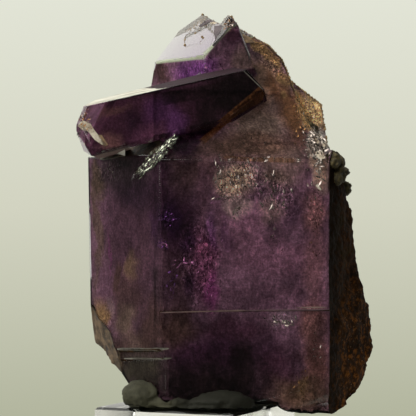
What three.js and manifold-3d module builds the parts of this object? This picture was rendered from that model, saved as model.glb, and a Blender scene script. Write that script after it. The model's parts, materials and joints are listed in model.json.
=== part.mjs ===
// Skeletal amethyst point, set in mineral putty on a clear acrylic block.
// Millimetres, +Z up, X to the right and Y away from the front. The origin is the middle of the
// block's underside. The crystal stands with its c axis upright and its widest prism face to the
// front, and a second crystal, with a point at each end, lies across it below the tip.
import * as THREE from "three";
import { ConvexGeometry } from "three/addons/geometries/ConvexGeometry.js";
import { mergeVertices } from "three/addons/utils/BufferGeometryUtils.js";
import Module from "manifold-3d";

const wasm = await Module();
wasm.setup();

// ---------------------------------------------------------------- driving dimensions

// The display block: a square of clear acrylic, turned on its upright axis.
const BLOCK_SIDE = 30;
const BLOCK_HEIGHT = 12;
const BLOCK_TURN = -25;
const BLOCK_CHAMFER = 0.5;

// Clear gap between pieces that touch.
const FIT_GAP = 0.35;

// Quartz angles, in degrees. Prism faces stand 60 apart, and a rhomb face looks up at RHOMB_RISE.
const PRISM_STEP = 60;
const RHOMB_RISE = 38.2;

// Bearings of the faces, turned round the upright axis from the front, positive to the right.
const FRONT = 8;
const LEFT = FRONT - PRISM_STEP;
const LEFT_BACK = FRONT - 2 * PRISM_STEP;
const RIGHT = FRONT + PRISM_STEP;
const RIGHT_BACK = FRONT + 2 * PRISM_STEP;
const BACK = FRONT + 180;

// Upright edges of the main prism, as X and Y.
const FRONT_LEFT_EDGE = [-7, -13];
const LEFT_EDGE = [-22.1, 6.3];
const BACK_LEFT_EDGE = [-17.6, 17];
const CONTACT_EDGE = [26, -8.4];

// Bearings of the broken side where the crystal grew against rock, and of the flanks above it.
const CONTACT = 58;
const FLANK = 92;

// How far the pressed putty's skin swells and sinks, as a share of each ball, and its dents' size.
const PUTTY_SWELL = 0.07;
const PUTTY_DENT = 0.27;

// Levels on the crystal.
const FOOT_LEVEL = 13.4;
const TOE_DROP = 2.6;
const SHOULDER_LEVEL = 61.4;
const FRONT_POINT_LEVEL = 60.4;
const TIP_LEVEL = 91.2;
const CORE_LEVEL = 45;
const LOWEST = 5;

// Sizes of the lumps on broken stone, and how thick the shapes are that cut it.
const BROAD_LUMP = 4.5;
const SMALL_LUMP = 2;
const CUTTER = 24;

// Reach of cutting shapes past the crystal.
const FAR = 60;

// ---------------------------------------------------------------- small tools

const DEGREE = Math.PI / 180;
const UPRIGHT = new THREE.Vector3(0, 0, 1);

/** The direction that a face looks in, from its bearing and its rise above level, in degrees. */
function outward(bearing, rise) {
  const turn = bearing * DEGREE;
  const lift = rise * DEGREE;
  return new THREE.Vector3(
    Math.sin(turn) * Math.cos(lift),
    -Math.cos(turn) * Math.cos(lift),
    Math.sin(lift),
  );
}

/** A flat crystal face that looks out at a bearing and a rise and passes through a point. */
function face(bearing, rise, [x, y, z = 0]) {
  const through = new THREE.Vector3(x, y, z);
  return new THREE.Plane().setFromNormalAndCoplanarPoint(outward(bearing, rise), through);
}

/** The point where three planes meet, or null where they have no single one. */
function meetingPoint(a, b, c) {
  const across = new THREE.Vector3().crossVectors(b.normal, c.normal);
  const volume = a.normal.dot(across);
  if (Math.abs(volume) < 1e-6) {
    return null;
  }
  const point = across.multiplyScalar(-a.constant);
  point.addScaledVector(new THREE.Vector3().crossVectors(c.normal, a.normal), -b.constant);
  point.addScaledVector(new THREE.Vector3().crossVectors(a.normal, b.normal), -c.constant);
  return point.divideScalar(volume);
}

/** A manifold solid from a closed three.js geometry. */
function solid(geometry) {
  const bare = geometry.clone();
  bare.deleteAttribute("normal");
  bare.deleteAttribute("uv");
  const merged = mergeVertices(bare, 1e-4);
  return new wasm.Manifold(new wasm.Mesh({
    numProp: 3,
    vertProperties: new Float32Array(merged.attributes.position.array),
    triVerts: new Uint32Array(merged.index.array),
  }));
}

/** A three.js geometry from a manifold solid. */
function geometryOf(body) {
  const mesh = body.getMesh();
  const geometry = new THREE.BufferGeometry();
  geometry.setAttribute("position", new THREE.BufferAttribute(mesh.vertProperties, 3));
  geometry.setIndex(new THREE.BufferAttribute(mesh.triVerts, 1));
  geometry.computeVertexNormals();
  return geometry;
}

/** The convex crystal inside a list of faces. */
function crystal(faces) {
  const corners = [];
  for (let i = 0; i < faces.length; i += 1) {
    for (let j = i + 1; j < faces.length; j += 1) {
      for (let k = j + 1; k < faces.length; k += 1) {
        const point = meetingPoint(faces[i], faces[j], faces[k]);
        const inside = point && faces.every((plane) => plane.distanceToPoint(point) < 1e-4);
        if (inside && corners.every((corner) => corner.distanceTo(point) > 1e-3)) {
          corners.push(point);
        }
      }
    }
  }
  return solid(new ConvexGeometry(corners));
}

/** The placing of a flat drawing on a face: its X to the right, its Y up and its Z outwards. */
function onFace(bearing, rise, [x, y, z]) {
  const out = outward(bearing, rise);
  const right = outward(bearing + 90, 0);
  const up = new THREE.Vector3().crossVectors(out, right);
  return new THREE.Matrix4().makeBasis(right, up, out).setPosition(x, y, z);
}

/** A repeatable random number from 0 to 1 for a whole-numbered place. */
function scatter(i, j, seed) {
  const wave = Math.sin(i * 127.1 + j * 311.7 + seed * 74.7) * 43758.5453;
  return wave - Math.floor(wave);
}

/** Smooth random heights from -1 to 1 over a plane, with hills about `size` across. */
function hills(x, y, size, seed) {
  const i = Math.floor(x / size);
  const j = Math.floor(y / size);
  const u = THREE.MathUtils.smoothstep(x / size - i, 0, 1);
  const v = THREE.MathUtils.smoothstep(y / size - j, 0, 1);
  const near = THREE.MathUtils.lerp(scatter(i, j, seed), scatter(i + 1, j, seed), u);
  const far = THREE.MathUtils.lerp(scatter(i, j + 1, seed), scatter(i + 1, j + 1, seed), u);
  return 2 * THREE.MathUtils.lerp(near, far, v) - 1;
}

/** Broken stone: broad lumps with smaller ones on them, from about -1 to 1. */
function lumps(x, y, seed) {
  return 0.65 * hills(x, y, BROAD_LUMP, seed) + 0.35 * hills(x, y, SMALL_LUMP, seed + 5);
}

/**
 * The space outside a broken side: a slab on the face, with a lumpy inner side. `shape` gives its
 * broad form and `calm` how strong the lumps are, from 0 to 1, both at a place on the face.
 */
function brokenSide({
  bearing, rise, at, wide, tall, depth, seed, grid = 2, shape = () => 0, calm = () => 1,
}) {
  const geometry = new THREE.BoxGeometry(
    wide, tall, CUTTER, Math.round(wide / grid), Math.round(tall / grid), 1,
  );
  geometry.translate(0, 0, CUTTER / 2);
  const places = geometry.attributes.position;
  for (let i = 0; i < places.count; i += 1) {
    if (places.getZ(i) < CUTTER / 2) {
      const x = places.getX(i);
      const y = places.getY(i);
      places.setZ(i, depth * calm(x, y) * lumps(x, y, seed) + shape(x, y));
    }
  }
  return solid(geometry.applyMatrix4(onFace(bearing, rise, at)));
}

/** Stepped hollows one inside the next, as a skeletal crystal leaves in the middle of a face. */
function hopper({ bearing, rise, at, outline, steps, depth, shrink }) {
  let hollow = null;
  for (let step = 0; step < steps; step += 1) {
    const scale = 1 - step * shrink;
    const shape = new THREE.Shape(outline.map(([x, y]) => new THREE.Vector2(x * scale, y * scale)));
    const below = depth * (step + 1);
    const geometry = new THREE.ExtrudeGeometry(shape, { depth: below + 2, bevelEnabled: false });
    geometry.translate(0, 0, -below);
    const cut = solid(geometry.applyMatrix4(onFace(bearing, rise, at)));
    hollow = hollow ? hollow.add(cut) : cut;
  }
  return hollow;
}

/**
 * A step across an upright face: below `level` the face stands back by `depth`, from `from` to
 * `to` along it, measured to the right of `at`. It climbs to the right by `climb` degrees, and
 * `fade` is how far down it comes out again.
 */
function ledge({ bearing, at, level, depth, from, to, fade = 0, climb = 0 }) {
  const profile = new THREE.Shape([
    new THREE.Vector2(0, depth),
    new THREE.Vector2(-depth, 0),
    new THREE.Vector2(fade ? 0 : -depth, fade ? -fade : LOWEST - level),
    new THREE.Vector2(FAR, fade ? -fade : LOWEST - level),
    new THREE.Vector2(FAR, depth),
  ]);
  const geometry = new THREE.ExtrudeGeometry(profile, { depth: to - from, bevelEnabled: false });
  const out = outward(bearing, 0);
  const right = outward(bearing + 90, climb);
  const up = new THREE.Vector3().crossVectors(out, right);
  const place = new THREE.Matrix4().makeBasis(out, up, right.clone().negate());
  const start = new THREE.Vector3(...at, level).addScaledVector(right, to);
  return solid(geometry.applyMatrix4(place.setPosition(start)));
}

// ---------------------------------------------------------------- faces that individuals share

const m1 = face(LEFT, 0, FRONT_LEFT_EDGE);
const m2 = face(FRONT, 0, FRONT_LEFT_EDGE);
const m5 = face(BACK, 0, BACK_LEFT_EDGE);
const m6 = face(LEFT_BACK, -1.5, [...LEFT_EDGE, SHOULDER_LEVEL]);
const contact = face(CONTACT, 0, [26.9, -9]);
const r2 = face(FRONT, RHOMB_RISE, [0, -12.02, FRONT_POINT_LEVEL]);
const r5 = face(BACK, 44, [1.3, 14.4, TIP_LEVEL]);
const foot = face(0, -90, [0, 0, FOOT_LEVEL - TOE_DROP - 2]);
const core = face(0, -90, [0, 0, CORE_LEVEL]);
const columnBack = face(RIGHT_BACK, 4, [25.1, 2.5, 71.5]);

// ---------------------------------------------------------------- the individuals

/** The stout main prism. */
function stem() {
  return crystal([
    m1, m2, m5, m6, contact, r2, r5, foot,
    face(LEFT, RHOMB_RISE, [...FRONT_LEFT_EDGE, SHOULDER_LEVEL]),
    face(LEFT_BACK, RHOMB_RISE, [-15.6, -2, 61.3]),
    face(FLANK, 37, [26.7, 0, 61.8]),
    face(FLANK, 18, [29.2, 0, 57]),
    face(FLANK, 10.8, [32.9, 0, 43]),
    face(RIGHT_BACK, 18.6, [34, 4, 43]),
    face(RIGHT_BACK, 0, [36.2, 7.2]),
    face(RIGHT_BACK, -32, [36.4, 7.6, 22.5]),
    face(FLANK, -52, [31, 0, 13.4]),
    face(0, 90, [0, 0, 84]),
  ]);
}

/** The lower left individual, with its flat top. */
function shoulder() {
  return crystal([
    m1, m2, m5, m6, foot,
    face(0, 90, [0, 0, SHOULDER_LEVEL]),
    face(RIGHT, 0, [-8, 0]),
  ]);
}

/** The upper point, with the clear end face to the left. */
function upperPoint() {
  return crystal([
    face(FRONT, 0, [1.6, 1.2]),
    face(LEFT, 0, [1.7, 1.2]),
    face(LEFT - 2, RHOMB_RISE, [1.5, 1.2, 81.8]),
    face(FRONT, RHOMB_RISE, [5.7, 1.8, 86.9]),
    face(LEFT_BACK, 29, [-8.9, 14.5, 81]),
    face(-100, 12, [-9.2, 15, 78.5]),
    face(RIGHT, 19, [13.1, 2.8, 75.2]),
    face(115, 45, [1.3, 14.3, TIP_LEVEL]),
    face(110, 22, [6.9, 4.6, 89.9]),
    r5, m5, columnBack, core,
  ]);
}

/** The middle column on the right. */
function middleColumn() {
  return crystal([
    m2, r2, r5, m5, core,
    face(100, 12, [17.8, 6.5, 80.5]),
    face(90, 42, [15.4, 9, 83.6]),
    face(90, 58, [10.9, 9, 86.7]),
    face(-90, 60, [7.5, 9, 88.7]),
    face(-90, 0, [2, 0]),
    columnBack,
  ]);
}

/** The outer column on the right. */
function outerColumn() {
  return crystal([
    m2, m5, contact, core,
    face(FRONT, RHOMB_RISE, [0, -10.4, FRONT_POINT_LEVEL]),
    face(95, 2, [25.1, 2, 71.5]),
    face(90, 50, [25.1, 2, 71.8]),
    face(BACK, RHOMB_RISE, [3, 12, TIP_LEVEL]),
    face(-90, 0, [8, 0]),
    columnBack,
  ]);
}

/** The crystal that lies across the front, with a point at each end. */
function crossingCrystal() {
  const topLeft = new THREE.Vector3(-20.9, -12.7, 70.8);
  const topRight = new THREE.Vector3(10, -2.9, 78.5);
  const axis = topRight.clone().sub(topLeft).normalize();
  const toFront = new THREE.Vector3().crossVectors(axis, UPRIGHT).normalize();
  const toTop = new THREE.Vector3().crossVectors(toFront, axis);

  /** A face from its turn up from the front, its lean to the right end and a point on it. */
  const sideFace = (turn, lean, at) => {
    const out = toFront.clone().multiplyScalar(Math.cos(turn * DEGREE));
    out.addScaledVector(toTop, Math.sin(turn * DEGREE));
    out.multiplyScalar(Math.cos(lean * DEGREE)).addScaledVector(axis, Math.sin(lean * DEGREE));
    return new THREE.Plane().setFromNormalAndCoplanarPoint(out, new THREE.Vector3(...at));
  };

  const bottomLeft = [-19.9, -16, 61.5];
  return crystal([
    sideFace(20, 0, topLeft),
    sideFace(80, 0, topLeft),
    sideFace(140, -5, [-20.9, -7.4, 71.2]),
    sideFace(-160, -4, [-19.9, -7, 61]),
    sideFace(-100, 0, [-19.9, -15.4, 60.9]),
    sideFace(-40, 1, bottomLeft),
    face(52, -32, [13.2, -3.7, 74.4]),
    face(110, 37.6, [10, -2.9, 78.5]),
    sideFace(57, -RHOMB_RISE, topLeft),
    sideFace(-24, -58, bottomLeft),
    sideFace(-110, -74, [-19.9, -15.4, 60.9]),
    sideFace(0, -64, [-22.1, -14.5, 67.1]),
    sideFace(150, -45, [-20, -7, 70]),
  ]);
}

// ---------------------------------------------------------------- broken and etched places

/** Every rough place that is cut into the grown crystals. */
function brokenPlaces() {
  /** How far the foot hangs down past the right front edge of the block, seen from below. */
  const toe = (x, minusY) => {
    const turn = BLOCK_TURN * DEGREE;
    const past = x * Math.cos(turn) - minusY * Math.sin(turn) - BLOCK_SIDE / 2;
    return TOE_DROP * THREE.MathUtils.smoothstep(past, -0.5, 8);
  };
  /** The shallow waist of the flank. */
  const waist = (x, y) => -0.8 * Math.exp(-(((y + 2) / 6) ** 2));
  /** Lumps that begin a little past the upright edge beside the front face. */
  const pastEdge = (x) => THREE.MathUtils.smoothstep(x, 0.3, 3);
  return [
    {
      bearing: CONTACT, rise: 0, at: [...CONTACT_EDGE, 36], wide: 60, tall: 62, depth: 0.7, seed: 1,
      calm: pastEdge,
    },
    { bearing: FLANK, rise: 18, at: [28.8, 4, 56.7], wide: 40, tall: 12, depth: 0.5, seed: 9 },
    {
      bearing: FLANK, rise: 10.8, at: [32.4, 4, 42.6], wide: 40, tall: 22, depth: 0.4, seed: 10,
      shape: waist,
    },
    { bearing: RIGHT_BACK, rise: 18.6, at: [32, 2.3, 48], wide: 60, tall: 36, depth: 0.8, seed: 2 },
    { bearing: RIGHT_BACK, rise: 0, at: [35.5, 6.8, 27], wide: 60, tall: 14, depth: 0.6, seed: 3 },
    { bearing: RIGHT_BACK, rise: -32, at: [35.7, 7.1, 22.4], wide: 60, tall: 30, depth: 0.7, seed: 4 },
    {
      bearing: 0, rise: -90, at: [0, 0, FOOT_LEVEL], wide: 84, tall: 56, depth: 0.25, seed: 6,
      shape: toe, grid: 3,
    },
    { bearing: -95, rise: -45, at: [-20, 4, 23.4], wide: 50, tall: 40, depth: 0.4, seed: 7 },
    { bearing: -61, rise: -10, at: [-15, -3, 22.5], wide: 44, tall: 26, depth: 0.35, seed: 8 },
  ];
}

/** The steps that cross the two front faces of the main prism. */
function ledges() {
  return [
    { bearing: LEFT, at: FRONT_LEFT_EDGE, level: 23.3, depth: 0.5, from: -14, to: 3, climb: 4 },
    { bearing: LEFT, at: FRONT_LEFT_EDGE, level: 21.7, depth: 0.9, from: -14, to: 3, climb: 5 },
    { bearing: FRONT, at: FRONT_LEFT_EDGE, level: 30.9, depth: 0.25, from: -3, to: 40, fade: 9 },
  ];
}

/** The hollows that skeletal growth left in the middle of faces. */
function hoppers() {
  return [
    // The drawn-in middle of the clear end face.
    {
      bearing: LEFT - 2, rise: RHOMB_RISE, at: [-0.6, 9.2, 85.6], steps: 2, depth: 0.3, shrink: 0.3,
      outline: [[-4.5, 1.8], [-3, -0.5], [-1.3, -2], [4.1, -1.5], [4.4, 0.2], [0, 2.6], [-3.5, 2.4]],
    },
    // The framed back face, hollowed in four steps.
    {
      bearing: BACK, rise: 0, at: [1, 19.6, 42], steps: 4, depth: 0.6, shrink: 0.17,
      outline: [[-14, -17], [9, -19], [12, -6], [11.5, 12], [6, 20], [-9, 17], [-13, 8]],
    },
    // The back rhomb face, hollowed to a three-cornered well.
    {
      bearing: BACK, rise: 44, at: [6, 17.6, 87.3], steps: 3, depth: 0.45, shrink: 0.24,
      outline: [[-5, -3.6], [6.5, -4.4], [0.5, 2.6]],
    },
    // The left back prism face, with a tall narrow hollow.
    {
      bearing: LEFT_BACK, rise: -1.5, at: [-20, 11.2, 44], steps: 3, depth: 0.4, shrink: 0.25,
      outline: [[-3.6, -9], [3.2, -10], [3.6, 4], [1, 11], [-3, 8]],
    },
  ];
}

/** The bright etched ledge that climbs across the front left edge, as a row of small blades. */
function etchedLedge() {
  const route = new THREE.CatmullRomCurve3([
    new THREE.Vector3(-12, -6.5, 57.2),
    new THREE.Vector3(-9.4, -9.8, 59.2),
    new THREE.Vector3(-7, -12.8, 61.2),
    new THREE.Vector3(-5.4, -10.4, 63.2),
    new THREE.Vector3(-3.8, -8.9, 64.7),
  ]);
  const blades = 12;
  let row = null;
  for (let i = 0; i < blades; i += 1) {
    const blade = new THREE.OctahedronGeometry(1);
    blade.scale(1.7, 0.8, 0.6 + 0.4 * scatter(i, 0, 11));
    blade.rotateZ(0.5 * scatter(i, 1, 11) - 0.6);
    blade.rotateY(-1.1 + 0.5 * scatter(i, 2, 11));
    const spot = route.getPointAt((i + 0.5) / blades);
    blade.translate(spot.x, spot.y, spot.z + 0.3 * scatter(i, 3, 11));
    const shape = solid(blade);
    row = row ? row.add(shape) : shape;
  }
  return row;
}

/** The notch between the two tips. */
function tipNotch() {
  return crystal([
    face(-88, -50, [4.7, 8, 88.4]),
    face(92, -40, [4.7, 8, 88.4]),
    face(0, 0, [0, -4]),
    face(180, 0, [0, 22]),
    face(0, 90, [0, 0, TIP_LEVEL + 6]),
  ]);
}

/** The whole amethyst. */
function amethyst() {
  let body = stem().add(shoulder());
  for (const grown of [upperPoint().subtract(tipNotch()), middleColumn(), outerColumn()]) {
    body = body.add(grown);
  }
  for (const place of brokenPlaces()) {
    body = body.subtract(brokenSide(place));
  }
  for (const step of ledges()) {
    body = body.subtract(ledge(step));
  }
  for (const hollow of hoppers()) {
    body = body.subtract(hopper(hollow));
  }
  return body.add(etchedLedge()).add(crossingCrystal());
}

// ---------------------------------------------------------------- the holder

/** The acrylic block, with its edges taken off. */
function acrylicBlock() {
  const half = BLOCK_SIDE / 2 - BLOCK_CHAMFER;
  const outline = new THREE.Shape([
    new THREE.Vector2(-half, -half),
    new THREE.Vector2(half, -half),
    new THREE.Vector2(half, half),
    new THREE.Vector2(-half, half),
  ]);
  const geometry = new THREE.ExtrudeGeometry(outline, {
    depth: BLOCK_HEIGHT - 2 * BLOCK_CHAMFER,
    bevelThickness: BLOCK_CHAMFER,
    bevelSize: BLOCK_CHAMFER,
    bevelSegments: 1,
  });
  geometry.translate(0, 0, BLOCK_CHAMFER);
  return solid(geometry.rotateZ(BLOCK_TURN * DEGREE));
}

/** The putty: pressed balls that run together, flat below and shaped by the crystal above. */
function putty(crystalBody) {
  const pressed = [
    { at: [-10, -7.6, 14.3], reach: [4.9, 5, 3.3] },
    { at: [-4, -8.6, 12.9], reach: [7.5, 5.2, 2.6] },
    { at: [4.6, -10.4, 13.1], reach: [7.2, 5.4, 2.9] },
    { at: [9.4, -4, 13], reach: [7, 6.4, 2.4] },
    { at: [0, 1, 13.2], reach: [12.5, 10.5, 3.2] },
    { at: [-8, 7.4, 13.6], reach: [6, 5.6, 3.6] },
    { at: [4, 9.8, 13.4], reach: [8.4, 5.4, 3] },
  ];
  let lump = null;
  pressed.forEach(({ at, reach }, index) => {
    const ball = new THREE.SphereGeometry(1, 20, 12);
    const places = ball.attributes.position;
    for (let i = 0; i < places.count; i += 1) {
      const round = places.getZ(i) + places.getY(i) / 3;
      const swell = 1 + PUTTY_SWELL * hills(places.getX(i), round, PUTTY_DENT, index);
      places.setXYZ(i, places.getX(i) * swell, places.getY(i) * swell, places.getZ(i));
    }
    ball.scale(...reach).translate(...at);
    const part = solid(ball);
    lump = lump ? lump.add(part) : part;
  });
  const below = crystal([
    face(0, 90, [0, 0, BLOCK_HEIGHT + FIT_GAP]),
    face(0, -90, [0, 0, 0]),
    ...[0, 90, 180, 270].map((bearing) => {
      const reach = outward(bearing, 0).multiplyScalar(FAR);
      return face(bearing, 0, reach.toArray());
    }),
  ]);
  lump = lump.subtract(below);
  const clearance = [[0, 0, -1], [0.7, 0, -0.7], [-0.7, 0, -0.7], [0, 0.7, -0.7], [0, -0.7, -0.7]];
  for (const [x, y, z] of clearance) {
    lump = lump.subtract(crystalBody.translate([x * FIT_GAP, y * FIT_GAP, z * FIT_GAP]));
  }
  return lump;
}

// ---------------------------------------------------------------- the assembly

/** A named mesh in its own material, with its facets shown flat unless it is soft. */
function piece(name, body, color, roughness, flatShading = true) {
  const material = new THREE.MeshStandardMaterial({ color, roughness, metalness: 0, flatShading });
  const mesh = new THREE.Mesh(geometryOf(body), material);
  mesh.name = name;
  return mesh;
}

const amethystBody = amethyst();
const group = new THREE.Group();
group.add(
  piece("acrylic_base", acrylicBlock(), 0xb9bda6, 0.08),
  piece("putty", putty(amethystBody), 0x56583f, 0.85, false),
  piece("amethyst", amethystBody, 0x4a2c4e, 0.15),
);

export default group;
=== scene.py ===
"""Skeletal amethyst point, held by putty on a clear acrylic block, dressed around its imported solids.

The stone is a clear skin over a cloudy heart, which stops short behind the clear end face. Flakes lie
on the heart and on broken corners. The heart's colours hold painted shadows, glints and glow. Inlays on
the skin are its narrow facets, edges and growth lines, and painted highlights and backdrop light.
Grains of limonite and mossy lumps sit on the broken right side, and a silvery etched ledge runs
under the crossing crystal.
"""

import json
import logging
import math
import random
from collections.abc import Callable, Iterator, Sequence
from contextlib import contextmanager
from dataclasses import dataclass
from enum import Enum

import bmesh
import bpy
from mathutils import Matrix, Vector
from mathutils.bvhtree import BVHTree

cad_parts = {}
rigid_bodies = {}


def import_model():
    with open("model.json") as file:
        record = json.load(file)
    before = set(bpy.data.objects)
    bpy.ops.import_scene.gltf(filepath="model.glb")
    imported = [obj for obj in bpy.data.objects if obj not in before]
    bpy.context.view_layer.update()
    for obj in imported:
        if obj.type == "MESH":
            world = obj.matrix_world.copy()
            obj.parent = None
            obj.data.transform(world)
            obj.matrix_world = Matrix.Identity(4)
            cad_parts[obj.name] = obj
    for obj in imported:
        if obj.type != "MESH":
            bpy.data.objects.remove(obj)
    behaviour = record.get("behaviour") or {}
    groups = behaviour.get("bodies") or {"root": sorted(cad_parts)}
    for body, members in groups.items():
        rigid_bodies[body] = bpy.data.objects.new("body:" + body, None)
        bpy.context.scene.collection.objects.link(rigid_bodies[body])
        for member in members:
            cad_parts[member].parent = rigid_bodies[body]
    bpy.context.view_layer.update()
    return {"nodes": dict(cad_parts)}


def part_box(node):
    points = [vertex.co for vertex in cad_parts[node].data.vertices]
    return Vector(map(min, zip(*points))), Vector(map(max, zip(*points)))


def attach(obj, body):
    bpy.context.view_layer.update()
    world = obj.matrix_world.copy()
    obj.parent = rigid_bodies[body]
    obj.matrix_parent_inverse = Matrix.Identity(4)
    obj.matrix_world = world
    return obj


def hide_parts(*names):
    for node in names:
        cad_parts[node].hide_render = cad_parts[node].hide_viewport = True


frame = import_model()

LOG = logging.getLogger("amethyst")

MM = 0.001

Colour = tuple[float, float, float]
Triple = tuple[float, float, float]
Shape = tuple[list[Vector], list[tuple[int, ...]]]
Socket = bpy.types.NodeSocket
Piece = bpy.types.Object
Face = bmesh.types.BMFace
Edge = bmesh.types.BMEdge


def outward(bearing: float, rise: float) -> Vector:
    """The direction that a crystal face looks in.

    Args:
        bearing: Angle from the front towards the right, in degrees.
        rise: Angle above the horizon, in degrees.

    Returns:
        A unit vector.
    """
    turn, lift = math.radians(bearing), math.radians(rise)
    return Vector((math.sin(turn) * math.cos(lift), -math.cos(turn) * math.cos(lift), math.sin(lift)))


RIGHT, BACK, UP = (Vector(axis) for axis in ((1.0, 0.0, 0.0), (0.0, 1.0, 0.0), (0.0, 0.0, 1.0)))


# ---------------------------------------------------------------- shader maths


class Number:
    """A number inside a shader, worked on with Python's own operators."""

    def __init__(self, shader: "Shader", socket: Socket) -> None:
        """Wraps an output socket of a shader."""
        self.shader = shader
        self.socket = socket

    def _math(self, operation: str, *values: "Number | float") -> "Number":
        """Adds one Math node for an operation on the values."""
        node = self.shader.node("ShaderNodeMath", {"operation": operation}, dict(enumerate(values)))
        return Number(self.shader, node.outputs[0])

    def __add__(self, other: "Number | float") -> "Number":
        """self + other."""
        return self._math("ADD", self, other)

    def __radd__(self, other: float) -> "Number":
        """other + self."""
        return self._math("ADD", other, self)

    def __sub__(self, other: "Number | float") -> "Number":
        """self - other."""
        return self._math("SUBTRACT", self, other)

    def __rsub__(self, other: float) -> "Number":
        """other - self."""
        return self._math("SUBTRACT", other, self)

    def __mul__(self, other: "Number | float") -> "Number":
        """self * other."""
        return self._math("MULTIPLY", self, other)

    def __rmul__(self, other: float) -> "Number":
        """other * self."""
        return self._math("MULTIPLY", other, self)

    def __rpow__(self, other: float) -> "Number":
        """other ** self."""
        return self._math("POWER", other, self)

    def step(self, low: float, high: float) -> "Number":
        """Rises smoothly from 0 at low to 1 at high, or falls if low is the greater.

        Args:
            low: Where the result is 0.
            high: Where the result is 1.

        Returns:
            The smooth step.
        """
        start, end = (1.0, 0.0) if low > high else (0.0, 1.0)
        node = self.shader.node(
            "ShaderNodeMapRange",
            {"interpolation_type": "SMOOTHSTEP"},
            {"Value": self, "From Min": min(low, high), "From Max": max(low, high),
             "To Min": start, "To Max": end},
        )
        return Number(self.shader, node.outputs[0])


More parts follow.
